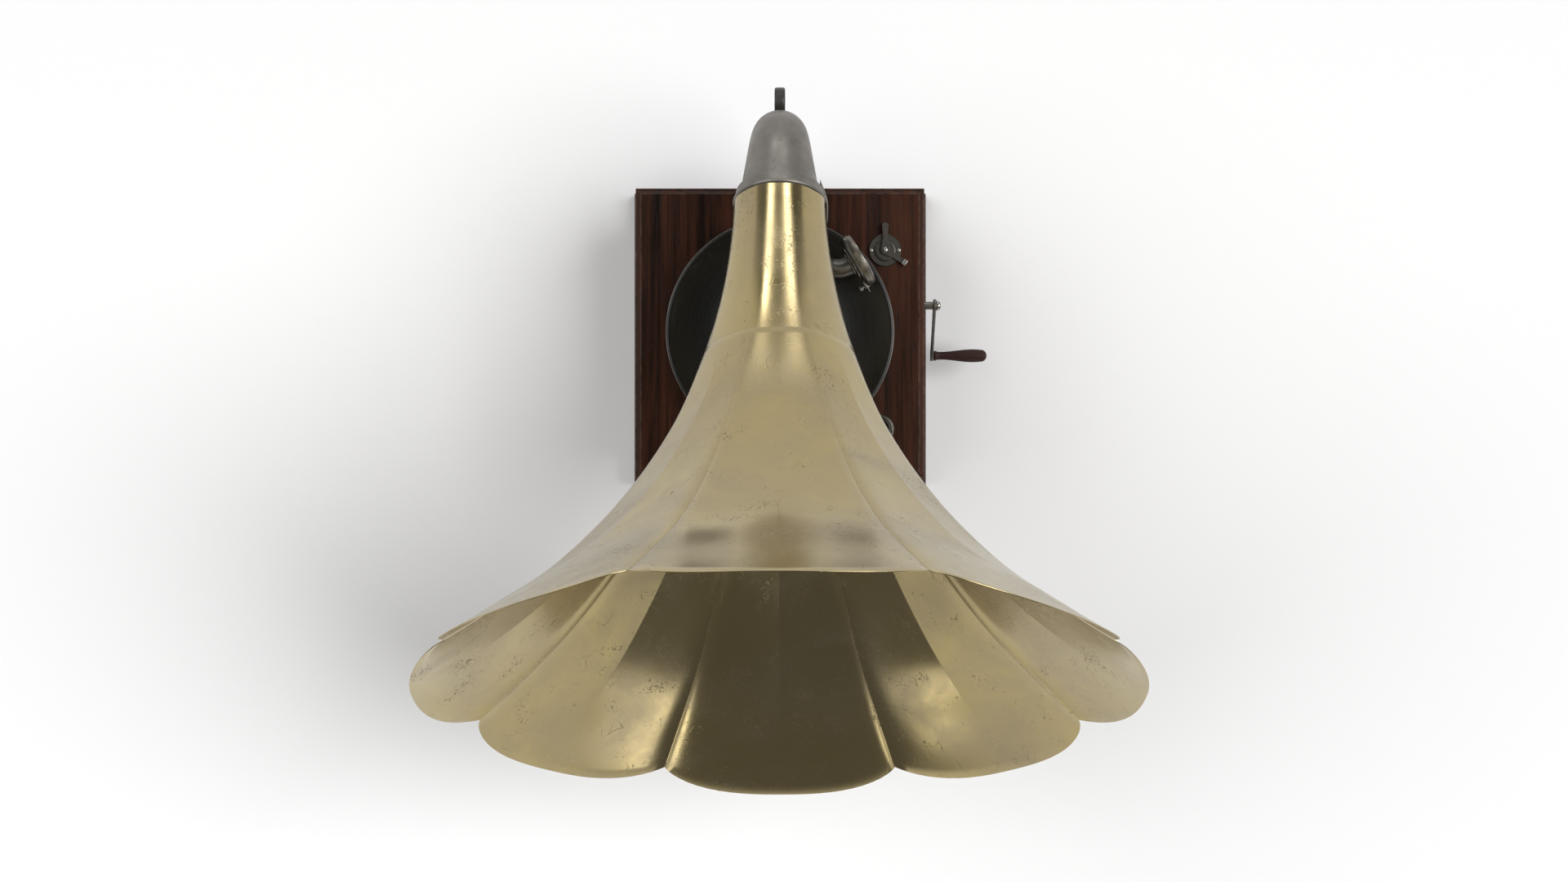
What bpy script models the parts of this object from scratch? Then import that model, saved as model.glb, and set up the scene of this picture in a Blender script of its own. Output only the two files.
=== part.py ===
"""Table-top wind-up gramophone with an outside brass horn.

Lengths are millimetres; a mesh becomes metres when its object is made.
The origin is the middle of the base's underside. +X is the crank side,
+Y the back and +Z up; the horn looks towards -Y.
"""
import math

import bmesh
import bpy
from mathutils import Matrix, Vector

MM = 0.001
GAP = 0.3                       # air left between pieces that touch

# Cabinet
PLINTH_HALF = 173.8
PLINTH_HEIGHT = 28.0
WALL_HALF = 152.0
WALL_THICK = 10.0
LID_HALF = 162.0
LID_LOW = 165.0
LID_TOP = 183.0
BOARD_THICK = 10.0

# Turntable and record
PLATTER_RADIUS = 127.0
PLATTER_LOW = 190.0
PLATTER_TOP = 201.5
RECORD_RADIUS = 125.4
RECORD_THICK = 1.6
MAT_THICK = 1.4
MAT_TOP = PLATTER_TOP + GAP + MAT_THICK
RECORD_TOP = MAT_TOP + GAP + RECORD_THICK
SPINDLE_RADIUS = 3.4
DECK = LID_TOP + GAP            # fittings sit on the motor board here

# Back bracket, horn elbow and tone arm share one upright axis
PIVOT = Vector((0.0, 203.0, 0.0))
RING_LOW = 255.0
RING_TOP = 278.5
RING_BORE = 26.5
RING_RADIUS = 30.5
SPIGOT_RADIUS = RING_BORE - 0.5 # horn elbow's foot and tone arm's stub turn in the ring
SPIGOT_LOW = RING_TOP - 12.7
STUB_TOP = SPIGOT_LOW - 0.5
STEP = 0.05                     # height over which a turned shoulder steps in
STRAP_WIDTH = 11.6
STRAP_THICK = 9.0

# Horn
TILT = math.radians(24.0)
HORN_AXIS = Vector((0.0, -math.cos(TILT), math.sin(TILT)))
HORN_UP = Vector((0.0, math.sin(TILT), math.cos(TILT)))
THROAT = Vector((0.0, 123.7, 350.0))
THROAT_RADIUS = 47.6
HORN_LENGTH = 535.0
CUSP_DEPTH = 17.7
NECK_LENGTH = 180.0
FLARE = 183.7
FLARE_RATE = 1.35
FLARE_DIP = 227.5
PETALS = 8
SHEET = 0.8
ELBOW_STRAIGHT = 54.8
ELBOW_BEND = 50.0
ELBOW_WIDE = 44.0
ELBOW_NARROW = 28.8
ELBOW_WALL = 3.0
COLLAR_RADIUS = 49.0
CLIP_HALF = 6.0                 # tongue on the collar's right side that holds the horn

# Tone arm and sound box
ARM_HEIGHT = 240.0
ARM_HEADING = math.radians(-70.0)
ARM_DIR = Vector((math.cos(ARM_HEADING), math.sin(ARM_HEADING), 0.0))
ARM_SPLIT = 108.0               # the goose neck turns on the arm here
GOOSE_BEND = 20.0
GOOSE_RADIUS = 11.0
BOX_HEADING = math.radians(30.3)
BOX_DIR = Vector((math.cos(BOX_HEADING), math.sin(BOX_HEADING), 0.0))
BOX_CENTRE = Vector((85.0, 75.8, ARM_HEIGHT))
BOX_RADIUS = 30.5
BOX_HALF = 5.7
NEEDLE_REACH = 50.9             # needle point from the sound box's centre
NEEDLE_OFFSET = -3.3
NEEDLE_DIP = math.asin((ARM_HEIGHT - RECORD_TOP - GAP) / NEEDLE_REACH)

# Speed dial, needle cup
DIAL = Vector((117.6, 91.9, 0.0))
DIAL_RADIUS = 18.35
CUP = Vector((110.9, -108.5, 0.0))
CUP_RADIUS = 17.0

# Crank
SHAFT_Y = 35.2
SHAFT_Z = 100.0
SHAFT_RADIUS = 4.5
CRANK_THROW = 75.0
CRANK_ANGLE = math.radians(221.7)
ARM_X = 177.3
ARM_BAR = 3.0
GRIP_END = 243.5

# Spring motor
PLATE_TOP = LID_LOW - GAP
PLATE_LOW = 32.0
PLATE_THICK = 3.0
BARREL = Vector((-62.0, SHAFT_Y, 0.0))
BARREL_TEETH = 54
SLOW_PINION = 9
SLOW_MODULE = 5.0 / 3.0
WHEEL_TEETH = 40
FAST_PINION = 8
FAST_MODULE = 1.5
BEVEL_SMALL = 12
BEVEL_LARGE = 24
BEVEL_MODULE = 1.75
GOVERNOR_HEADING = math.radians(-53.0)

COLOURS = {
    "mahogany": ((0.035, 0.011, 0.008), 0.35, 0.0),
    "grip_wood": ((0.06, 0.018, 0.012), 0.40, 0.0),
    "brass": ((0.42, 0.33, 0.17), 0.32, 1.0),
    "grey_iron": ((0.20, 0.19, 0.175), 0.50, 0.8),
    "steel": ((0.45, 0.45, 0.44), 0.28, 1.0),
    "bronze": ((0.09, 0.085, 0.075), 0.45, 0.9),
    "felt": ((0.05, 0.012, 0.012), 0.95, 0.0),
    "shellac": ((0.009, 0.009, 0.008), 0.28, 0.0),
    "mica": ((0.55, 0.52, 0.42), 0.20, 0.0),
}


def clear_scene():
    """Start from an empty scene."""
    for item in list(bpy.data.objects):
        bpy.data.objects.remove(item, do_unlink=True)


def make_materials():
    """One Principled material for each finish."""
    made = {}
    for name, (colour, roughness, metallic) in COLOURS.items():
        material = bpy.data.materials.new(name)
        material.use_nodes = True
        shader = material.node_tree.nodes["Principled BSDF"]
        shader.inputs["Base Color"].default_value = (*colour, 1.0)
        shader.inputs["Roughness"].default_value = roughness
        shader.inputs["Metallic"].default_value = metallic
        material.diffuse_color = (*colour, 1.0)
        made[name] = material
    return made


# ---------------------------------------------------------------- shaping

def loft(rings, closed=False):
    """Skin a row of rings. One point makes a pole; open ends are capped."""
    shape = bmesh.new()
    rows = [[shape.verts.new(point) for point in ring] for ring in rings]
    pairs = list(zip(rows, rows[1:]))
    if closed:
        pairs.append((rows[-1], rows[0]))
    for low, high in pairs:
        count = max(len(low), len(high))
        for i in range(count):
            j = (i + 1) % count
            corners = (low[i % len(low)], low[j % len(low)],
                       high[j % len(high)], high[i % len(high)])
            shape.faces.new(list(dict.fromkeys(corners)))
    if not closed:
        for row in (rows[0], rows[-1]):
            if len(row) > 2:
                shape.faces.new(row)
    bmesh.ops.recalc_face_normals(shape, faces=shape.faces)
    return shape


def axis_frame(origin, direction):
    """Matrix that stands local +Z along a direction."""
    turn = Vector((0.0, 0.0, 1.0)).rotation_difference(Vector(direction))
    return Matrix.Translation(origin) @ turn.to_matrix().to_4x4()


def circle(radius, height, steps, frame=Matrix()):
    """Ring of points round local Z; no radius gives a pole."""
    if radius == 0:
        return [frame @ Vector((0.0, 0.0, height))]
    turn = math.tau / steps
    return [frame @ Vector((radius * math.cos(k * turn), radius * math.sin(k * turn), height))
            for k in range(steps)]


def lathe(profile, steps=32, frame=Matrix(), closed=False):
    """Turn a profile of (radius, height) points round local Z."""
    return loft([circle(r, z, steps, frame) for r, z in profile], closed)


def rod(radius, low, high, steps=20, frame=Matrix()):
    """Plain round bar."""
    return lathe([(0, low), (radius, low), (radius, high), (0, high)], steps, frame)


def prism(outline, low, high, frame=Matrix()):
    """Flat outline of (x, y) points given a height."""
    return loft([[frame @ Vector((x, y, z)) for x, y in outline] for z in (low, high)])


def block(low, high, bevel=0.0):
    """Box between two corners, its edges eased by a bevel."""
    (x0, y0, z0), (x1, y1, z1) = low, high
    shape = prism([(x0, y0), (x1, y0), (x1, y1), (x0, y1)], z0, z1)
    if bevel:
        bmesh.ops.bevel(shape, geom=list(shape.edges), offset=bevel, segments=1,
                        affect="EDGES", profile=0.5)
    return shape


def arc(centre, radius, start, stop, steps):
    """Points along an arc, angles in degrees."""
    points = []
    for k in range(steps + 1):
        angle = math.radians(start + (stop - start) * k / steps)
        points.append((centre[0] + radius * math.cos(angle), centre[1] + radius * math.sin(angle)))
    return points


def rounded_bar(start, start_radius, end, end_radius, steps=8):
    """Outline of a flat bar with round ends, running from start to end."""
    heading = math.degrees(math.atan2(end[1] - start[1], end[0] - start[0]))
    tail = arc(start, start_radius, heading + 90, heading + 270, steps)
    nose = arc(end, end_radius, heading - 90, heading + 90, steps)
    return tail + nose


def rounded_rectangle(low, high, radius, steps=4):
    """Outline of a rectangle with round corners."""
    (x0, y0), (x1, y1) = low, high
    corners = ((x1, y1, 0), (x0, y1, 90), (x0, y0, 180), (x1, y0, 270))
    points = []
    for x, y, start in corners:
        inner = (x - math.copysign(radius, x - (x0 + x1) / 2),
                 y - math.copysign(radius, y - (y0 + y1) / 2))
        points += arc(inner, radius, start, start + 90, steps)
    return points


def sweep(path, radii, side, steps=20, scale=(1.0, 1.0)):
    """Rings along a path that lies in the plane square to side."""
    rings = []
    for k, point in enumerate(path):
        before = path[max(k - 1, 0)]
        after = path[min(k + 1, len(path) - 1)]
        tangent = (after - before).normalized()
        across = tangent.cross(side).normalized()
        ring = []
        for i in range(steps):
            angle = math.tau * i / steps
            ring.append(point + side * radii[k] * scale[0] * math.cos(angle)
                        + across * radii[k] * scale[1] * math.sin(angle))
        rings.append(ring)
    return rings


def smooth_path(corners, steps):
    """Catmull-Rom curve through a few corner points."""
    padded = [2 * corners[0] - corners[1]] + corners + [2 * corners[-1] - corners[-2]]
    path = []
    for a, b, c, d in zip(padded, padded[1:], padded[2:], padded[3:]):
        for k in range(steps):
            t = k / steps
            path.append(0.5 * (2 * b + (c - a) * t + (2 * a - 5 * b + 4 * c - d) * t ** 2
                               + (3 * b - 3 * c + d - a) * t ** 3))
    path.append(corners[-1])
    return path


# ---------------------------------------------------------------- objects

def add(name, shape, finish, joint=None):
    """Make an object, in metres, with its origin on its joint's axis."""
    pivot = joint.location if joint else Vector()
    shape.transform(Matrix.Translation(-pivot) @ Matrix.Scale(MM, 4))
    mesh = bpy.data.meshes.new(name)
    shape.to_mesh(mesh)
    shape.free()
    mesh.materials.append(MATERIALS[finish])
    mesh.shade_smooth()
    mesh.set_sharp_from_angle(angle=math.radians(35))
    item = bpy.data.objects.new(name, mesh)
    item.parent = joint
    bpy.context.collection.objects.link(item)
    return item


def alter(target, operation, tools):
    """Cut shapes from an object, or fuse them to it, with Boolean modifiers."""
    finish = target.data.materials[0].name
    for number, shape in enumerate(tools):
        tool = add(f"{target.name}_tool_{number}", shape, finish)
        tool.hide_render = True
        tool.display_type = "WIRE"
        change = target.modifiers.new(f"shape_{number}", "BOOLEAN")
        change.operation = operation
        change.solver = "EXACT"
        change.object = tool


def joint_empty(name, x=0.0, y=0.0, z=0.0):
    """Empty on a joint's axis, which the moving pieces hang from."""
    empty = bpy.data.objects.new(name, None)
    empty.location = Vector((x, y, z)) * MM
    bpy.context.collection.objects.link(empty)
    return empty


# ---------------------------------------------------------------- cabinet

def mitred_strip(name, profile, quarter):
    """One side of a square moulding, its ends cut at 45 degrees."""
    turn = Matrix.Rotation(math.radians(90 * quarter), 4, "Z")
    cut = GAP / 2
    left = [turn @ Vector((-d + cut, -d, z)) for d, z in profile]
    right = [turn @ Vector((d - cut, -d, z)) for d, z in profile]
    return add(name, loft([left, right]), "mahogany")


def cabinet():
    """Plinth, four walls, bottom board and the moulded motor board."""
    inner = WALL_HALF - WALL_THICK - 1.0
    plinth = [(inner, 0), (PLINTH_HALF - 1.5, 0), (PLINTH_HALF, 1.5), (PLINTH_HALF, 20)]
    plinth += [(PLINTH_HALF - 1.5, 23.5), (PLINTH_HALF - 7, 24.5), (PLINTH_HALF - 14, 26)]
    plinth += [(WALL_HALF + 3, PLINTH_HEIGHT), (inner, PLINTH_HEIGHT)]
    for quarter, side in enumerate(("front", "right", "back", "left")):
        mitred_strip(f"plinth_{side}", plinth, quarter)

    low = PLINTH_HEIGHT + GAP
    high = LID_LOW - GAP
    inside = WALL_HALF - WALL_THICK
    for side, sign in (("front", -1), ("back", 1)):
        y = sorted((sign * WALL_HALF, sign * inside))
        add(f"{side}_panel", block((-WALL_HALF, y[0], low), (WALL_HALF, y[1], high), 1.0), "mahogany")
    for side, sign in (("left", -1), ("right", 1)):
        x = sorted((sign * WALL_HALF, sign * inside))
        end = inside - GAP
        wall = add(f"{side}_panel", block((x[0], -end, low), (x[1], end, high)), "mahogany")
        if side == "right":
            hole = axis_frame((0, SHAFT_Y, SHAFT_Z), (1, 0, 0))
            alter(wall, "DIFFERENCE", [rod(7.0, inside - 5, WALL_HALF + 5, 24, hole)])

    half = inner - GAP
    add("bottom_board", block((-half, -half, 0), (half, half, BOARD_THICK)), "mahogany")

    edge = [(LID_HALF - 8, LID_LOW), (LID_HALF - 2, LID_LOW + 1), (LID_HALF, LID_LOW + 4)]
    edge += [(LID_HALF, LID_TOP - 8), (LID_HALF - 1.5, LID_TOP - 5), (LID_HALF - 4.5, LID_TOP - 2.5)]
    edge += [(LID_HALF - 5, LID_TOP - 1), (LID_HALF - 6.5, LID_TOP)]
    rings = [[Vector((-h, -h, z)), Vector((h, -h, z)), Vector((h, h, z)), Vector((-h, h, z))]
             for h, z in edge]
    board = add("motor_board", loft(rings), "mahogany")
    alter(board, "DIFFERENCE", [rod(7.0, LID_LOW - 5, LID_TOP + 5, 24)])


def escutcheon():
    """Round plate on the right wall that the crank shaft passes through."""
    frame = axis_frame((WALL_HALF + GAP, SHAFT_Y, SHAFT_Z), (1, 0, 0))
    profile = [(5.2, 0), (15, 0), (15, 1.2), (13, 2.4), (9, 2.8), (8.2, 6), (5.2, 6)]
    add("winding_escutcheon", lathe(profile, 32, frame, closed=True), "steel")


# ---------------------------------------------------------------- bracket

def bracket():
    """Cast wall plate, strap out behind the lid, and the ring it carries."""
    back = WALL_HALF + GAP
    outline = rounded_rectangle((-22, 55), (22, 128), 9)
    upright = Matrix(((1, 0, 0, 0), (0, 0, -1, 0), (0, 1, 0, 0), (0, 0, 0, 1)))
    plate = add("back_bracket", prism(outline, -back - 5, -back, upright), "grey_iron")
    corners = [(154.5, 92), (182, 94), (222, 118), (250, 166), (258, 220)]
    corners += [(257.5, 256), (253, 272), (244, 276), (228, 270)]
    path = smooth_path([Vector((0, y, z)) for y, z in corners], 3)
    half = STRAP_WIDTH / 2
    radii = [1.0] * len(path)
    strap = loft(sweep(path, radii, Vector((1, 0, 0)), 8, (half * 1.08, STRAP_THICK * 0.54)))
    ring = lathe([(RING_BORE, RING_LOW), (RING_RADIUS - 1.5, RING_LOW), (RING_RADIUS, RING_LOW + 2),
                  (RING_RADIUS, RING_TOP - 2), (RING_RADIUS - 1.5, RING_TOP), (RING_BORE, RING_TOP)],
                 40, Matrix.Translation(PIVOT), closed=True)
    bore = rod(RING_BORE, RING_LOW - 1, RING_TOP + 1, 40, Matrix.Translation(PIVOT))
    alter(plate, "UNION", [strap])
    alter(plate, "DIFFERENCE", [bore])
    alter(plate, "UNION", [ring])
    for name, z in (("upper", 116), ("lower", 66)):
        frame = axis_frame((0, back + 5 + GAP, z), (0, 1, 0))
        dome = [(0, 0), (4.5, 0), (4.3, 1.2), (3.0, 2.5), (0, 3.2)]
        add(f"bracket_screw_{name}", lathe(dome, 16, frame), "steel")


# ---------------------------------------------------------------- horn

def horn_radius(depth):
    """Radius of a petal's middle at a depth along the horn."""
    share = depth / HORN_LENGTH
    return THROAT_RADIUS - FLARE_DIP * share + FLARE * (math.exp(FLARE_RATE * share) - 1)


def horn_slope(depth):
    """Rate at which the radius grows with depth."""
    share = depth / HORN_LENGTH
    return (FLARE * FLARE_RATE * math.exp(FLARE_RATE * share) - FLARE_DIP) / HORN_LENGTH


def horn_point(depth, angle, across, inset):
    """Point of the sheet; across runs from -1 to 1 over a petal."""
    share = depth / HORN_LENGTH
    seam = -0.012 * math.sin(math.pi * share) + 0.0146 * share ** 4
    radius = horn_radius(depth) * (1 + seam * across * across)
    slope = horn_slope(depth)
    outward = HORN_UP * math.cos(angle) + Vector((math.sin(angle), 0, 0))
    normal = (outward - HORN_AXIS * slope).normalized()
    return THROAT + HORN_AXIS * depth + outward * radius - normal * inset


def horn(joint):
    """Neck cone and eight petals of thin sheet."""
    steps = 7
    depths = [GAP + (NECK_LENGTH - GAP) * k / (steps - 1) for k in range(steps)]

    def neck_ring(depth, inset):
        ring = []
        for k in range(PETALS * 2):
            across = k % 2
            ring.append(horn_point(depth, math.pi * k / PETALS, across, inset))
        return ring

    rings = [neck_ring(depth, 0) for depth in depths]
    rings += [neck_ring(depth, SHEET) for depth in reversed(depths)]
    add("horn_neck", loft(rings, closed=True), "brass", joint)

    for number in range(PETALS):
        add(f"horn_petal_{number + 1}", petal(math.tau * number / PETALS), "brass", joint)


def petal(middle):
    """One petal: a curved sheet with a rounded outer edge."""
    columns = 6
    rows = 10
    root = NECK_LENGTH + GAP

    def sheet_point(row, column, inset):
        across = 2 * column / columns - 1
        rim = HORN_LENGTH - CUSP_DEPTH * across * across
        depth = root + (rim - root) * row / rows
        half = math.pi / PETALS - GAP / 2 / horn_radius(depth)
        return horn_point(depth, middle + across * half, across, inset)

    rings = []
    for row in range(rows + 1):
        outer = [sheet_point(row, column, 0) for column in range(columns + 1)]
        inner = [sheet_point(row, column, SHEET) for column in reversed(range(columns + 1))]
        rings.append(outer + inner)
    shape = loft(rings)
    caps = [face for face in shape.faces if len(face.verts) > 4]
    bmesh.ops.delete(shape, geom=caps, context="FACES_ONLY")
    shape.verts.ensure_lookup_table()
    width = 2 * (columns + 1)
    for first in (0, rows * width):
        for k in range(columns):
            corners = (first + k, first + k + 1, first + width - 2 - k, first + width - 1 - k)
            shape.faces.new([shape.verts[i] for i in corners])
    bmesh.ops.recalc_face_normals(shape, faces=shape.faces)
    return shape


def elbow(joint):
    """Cast elbow from the bracket's ring up to the horn's throat."""
    side = Vector((1, 0, 0))
    path = [THROAT - HORN_AXIS * (GAP + ELBOW_STRAIGHT * k / 2) for k in range(3)]
    centre = path[-1] - HORN_UP * ELBOW_BEND
    turn = math.pi / 2 - TILT
    bend_steps = 6
    for k in range(1, bend_steps + 1):
        angle = turn * k / bend_steps
        path.append(centre + (HORN_UP * math.cos(angle) - HORN_AXIS * math.sin(angle)) * ELBOW_BEND)
    count = len(path)
    radii = []
    for k in range(count):
        left = 1 - k / (count - 1)
        radii.append(ELBOW_NARROW + (ELBOW_WIDE - ELBOW_NARROW) * left ** 1.3)
    foot = RING_TOP + GAP
    shoulder = path.pop()
    path += [Vector((0, PIVOT.y, z)) for z in (shoulder.z, foot + STEP, foot, SPIGOT_LOW)]
    radii += [ELBOW_NARROW, SPIGOT_RADIUS, SPIGOT_RADIUS]
    outer = sweep(path, radii, side, 22)
    inner = sweep(path, [radius - ELBOW_WALL for radius in radii], side, 22)
    add("horn_elbow", loft(outer + inner[::-1], closed=True), "grey_iron", joint)

    frame = axis_frame(THROAT, HORN_AXIS)
    bead = [(COLLAR_RADIUS - 2.2 + 2.2 * math.cos(a), -3 + 2.2 * math.sin(a))
            for a in (math.pi / 2, math.pi / 4, 0, -math.pi / 4)]
    inside = ELBOW_WIDE + 0.4
    profile = [(inside, -0.8)] + bead + [(COLLAR_RADIUS - 3, -6), (COLLAR_RADIUS - 3, -15), (inside, -16)]
    collar = add("elbow_collar", lathe(profile, 28, frame, closed=True), "grey_iron", joint)
    clip = [(-31, 42.3), (-16, 46.6), (-6, 49.6), (2, 50.3), (12, 50.3), (17, 49.6)]
    clip += [(17, 49.0), (0.5, 48.9), (-3, 46.0), (-15, 44.8), (-31, 41.8)]
    rings = [[THROAT + HORN_AXIS * depth + side * x + HORN_UP * height for depth, x in clip]
             for height in (-CLIP_HALF, CLIP_HALF)]
    alter(collar, "UNION", [loft(rings)])

    screw = axis_frame(THROAT - HORN_AXIS * 10.5 - HORN_UP * (COLLAR_RADIUS - 2.4), -HORN_UP)
    profile = [(0, 0), (3, 0), (3, 2), (5.5, 2.4), (5.5, 8.5), (4.2, 10), (0, 10.4)]
    add("horn_clamp_screw", lathe(profile, 16, screw), "steel", joint)


# ---------------------------------------------------------------- tone arm

def tone_arm(swing, lift):
    """Arm tube on its pivot pot, and the goose neck that turns on it."""
    pivot = Vector((PIVOT.x, PIVOT.y, ARM_HEIGHT))
    pot = [(0, 226), (12, 226.6), (19, 229), (23.5, 234), (24, 240), (24, RING_LOW - 1.0)]
    pot += [(SPIGOT_RADIUS, RING_LOW - 0.5), (SPIGOT_RADIUS, STUB_TOP), (0, STUB_TOP)]
    body = add("tonearm_tube", lathe(pot, 28, Matrix.Translation(PIVOT)), "steel", swing)
    along = axis_frame(pivot, ARM_DIR)
    tube = [(0, 10), (12.6, 10), (GOOSE_RADIUS + 0.6, 90), (GOOSE_RADIUS + 2, 94)]
    tube += [(GOOSE_RADIUS + 2, ARM_SPLIT - GAP), (0, ARM_SPLIT - GAP)]
    alter(body, "UNION", [lathe(tube, 24, along)])

    normal = Vector((0, 0, 1))
    corner = pivot + ARM_DIR * goose_corner()
    tangent = GOOSE_BEND * math.tan((BOX_HEADING - ARM_HEADING) / 2)
    path = [pivot + ARM_DIR * (ARM_SPLIT + GAP)]
    left = Vector((-ARM_DIR.y, ARM_DIR.x, 0))
    start = corner - ARM_DIR * tangent
    centre = start + left * GOOSE_BEND
    bend_steps = 7
    for k in range(bend_steps + 1):
        angle = (BOX_HEADING - ARM_HEADING) * k / bend_steps
        path.append(centre - left * GOOSE_BEND * math.cos(angle) + ARM_DIR * GOOSE_BEND * math.sin(angle))
    path.append(BOX_CENTRE - BOX_DIR * (BOX_HALF + 4.8 + GAP))
    outer = sweep(path, [GOOSE_RADIUS] * len(path), normal, 14)
    inner = sweep(path, [GOOSE_RADIUS - 1.5] * len(path), normal, 14)
    add("tonearm_gooseneck", loft(outer + inner[::-1], closed=True), "steel", lift)


def goose_corner():
    """Distance along the arm to where its line meets the sound box's line."""
    offset = BOX_CENTRE - PIVOT
    cross = ARM_DIR.x * BOX_DIR.y - ARM_DIR.y * BOX_DIR.x
    return (offset.x * BOX_DIR.y - offset.y * BOX_DIR.x) / cross


def sound_box(lift):
    """Flange, round body, mica, stylus bar and needle."""
    frame = axis_frame(BOX_CENTRE, BOX_DIR)
    back = -BOX_HALF
    flange = [(9, back - 4.5), (17, back - 4.5), (19, back - 2.5), (19, back - GAP), (9, back - GAP)]
    add("soundbox_flange", lathe(flange, 28, frame, closed=True), "steel", lift)
    body = [(9, back), (BOX_RADIUS - 1.5, back), (BOX_RADIUS, back + 1.5), (BOX_RADIUS, BOX_HALF - 1.5)]
    body += [(BOX_RADIUS - 1.5, BOX_HALF), (24, BOX_HALF), (24, 2.6), (27.4, 2.6), (27.4, -1.5), (9, -1.5)]
    add("soundbox_body", lathe(body, 28, frame, closed=True), "steel", lift)
    mica = [(0, 1.4), (27.0, 1.4), (27.0, 2.0), (0, 2.0)]
    add("diaphragm", lathe(mica, 28, frame), "mica", lift)

    forward = Vector((BOX_DIR.y, -BOX_DIR.x, 0))
    radial = forward * math.cos(NEEDLE_DIP) - Vector((0, 0, 1)) * math.sin(NEEDLE_DIP)

    def spot(reach, offset):
        return BOX_CENTRE + radial * reach + BOX_DIR * offset

    bend = [(0, 2.5), (1.5, 6.5), (6, 8.2), (20, 8.2), (29, 8.0), (33.5, 5.5), (35.5, 0), (36, NEEDLE_OFFSET)]
    path = smooth_path([spot(reach, offset) for reach, offset in bend], 2)
    side = radial.cross(BOX_DIR).normalized()
    bar = add("stylus_bar", loft(sweep(path, [1.5] * len(path), side, 10)), "steel", lift)
    chuck_frame = axis_frame(spot(0, NEEDLE_OFFSET), radial)
    alter(bar, "UNION", [rod(3.0, 32, 41, 14, chuck_frame)])
    screw_frame = axis_frame(spot(37.5, NEEDLE_OFFSET - 3.0 - GAP), -BOX_DIR)
    screw = [(0, 0), (1.3, 0), (1.3, 2), (3.2, 2.4), (3.2, 5.5), (0, 6.2)]
    add("needle_screw", lathe(screw, 14, screw_frame), "steel", lift)
    point = [(0, 41 + GAP), (0.8, 41 + GAP), (0.8, NEEDLE_REACH - 4), (0, NEEDLE_REACH)]
    add("needle", lathe(point, 10, chuck_frame), "steel", lift)


# ---------------------------------------------------------------- turntable

def turntable(joint):
    """Dished platter, felt mat, record and the spindle that drives them."""
    bore = SPINDLE_RADIUS + GAP
    platter = [(bore, 187), (11, 187), (11, 196), (PLATTER_RADIUS - 6, 197.5)]
    platter += [(PLATTER_RADIUS - 2.5, PLATTER_LOW), (PLATTER_RADIUS - 0.6, PLATTER_LOW)]
    platter += [(PLATTER_RADIUS, PLATTER_LOW + 1), (PLATTER_RADIUS, 202.6), (PLATTER_RADIUS - 0.5, 203.1)]
    platter += [(PLATTER_RADIUS - 1.4, 203.1), (PLATTER_RADIUS - 1.8, PLATTER_TOP), (bore, PLATTER_TOP)]
    add("turntable_platter", lathe(platter, 44, closed=True), "steel", joint)
    mat = [(bore, PLATTER_TOP + GAP), (PLATTER_RADIUS - 2.4, PLATTER_TOP + GAP)]
    mat += [(PLATTER_RADIUS - 2.4, MAT_TOP), (bore, MAT_TOP)]
    add("turntable_mat", lathe(mat, 40, closed=True), "felt", joint)
    low = MAT_TOP + GAP
    disc = [(bore, low), (RECORD_RADIUS - 0.5, low), (RECORD_RADIUS, low + 0.6)]
    disc += [(RECORD_RADIUS - 0.4, RECORD_TOP), (bore, RECORD_TOP)]
    add("record", lathe(disc, 44, closed=True), "shellac", joint)

    shaft = [(0, PLATE_LOW), (3, PLATE_LOW), (3, PLATE_TOP - 8), (5, PLATE_TOP - 8), (5, 186.5)]
    shaft += [(SPINDLE_RADIUS, 186.5), (SPINDLE_RADIUS, 209), (2.4, 211.5), (0, 212.2)]
    spindle = add("turntable_spindle", lathe(shaft, 20), "steel", joint)
    towards = idler_place()
    heading = math.atan2(towards.y, towards.x)
    pinion = gear(FAST_PINION, FAST_MODULE, 126, 134, heading)
    wheel = gear(WHEEL_TEETH, FAST_MODULE, 140, 144, GOVERNOR_HEADING)
    alter(spindle, "UNION", [pinion, wheel])


# ---------------------------------------------------------------- dial, cup

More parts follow.
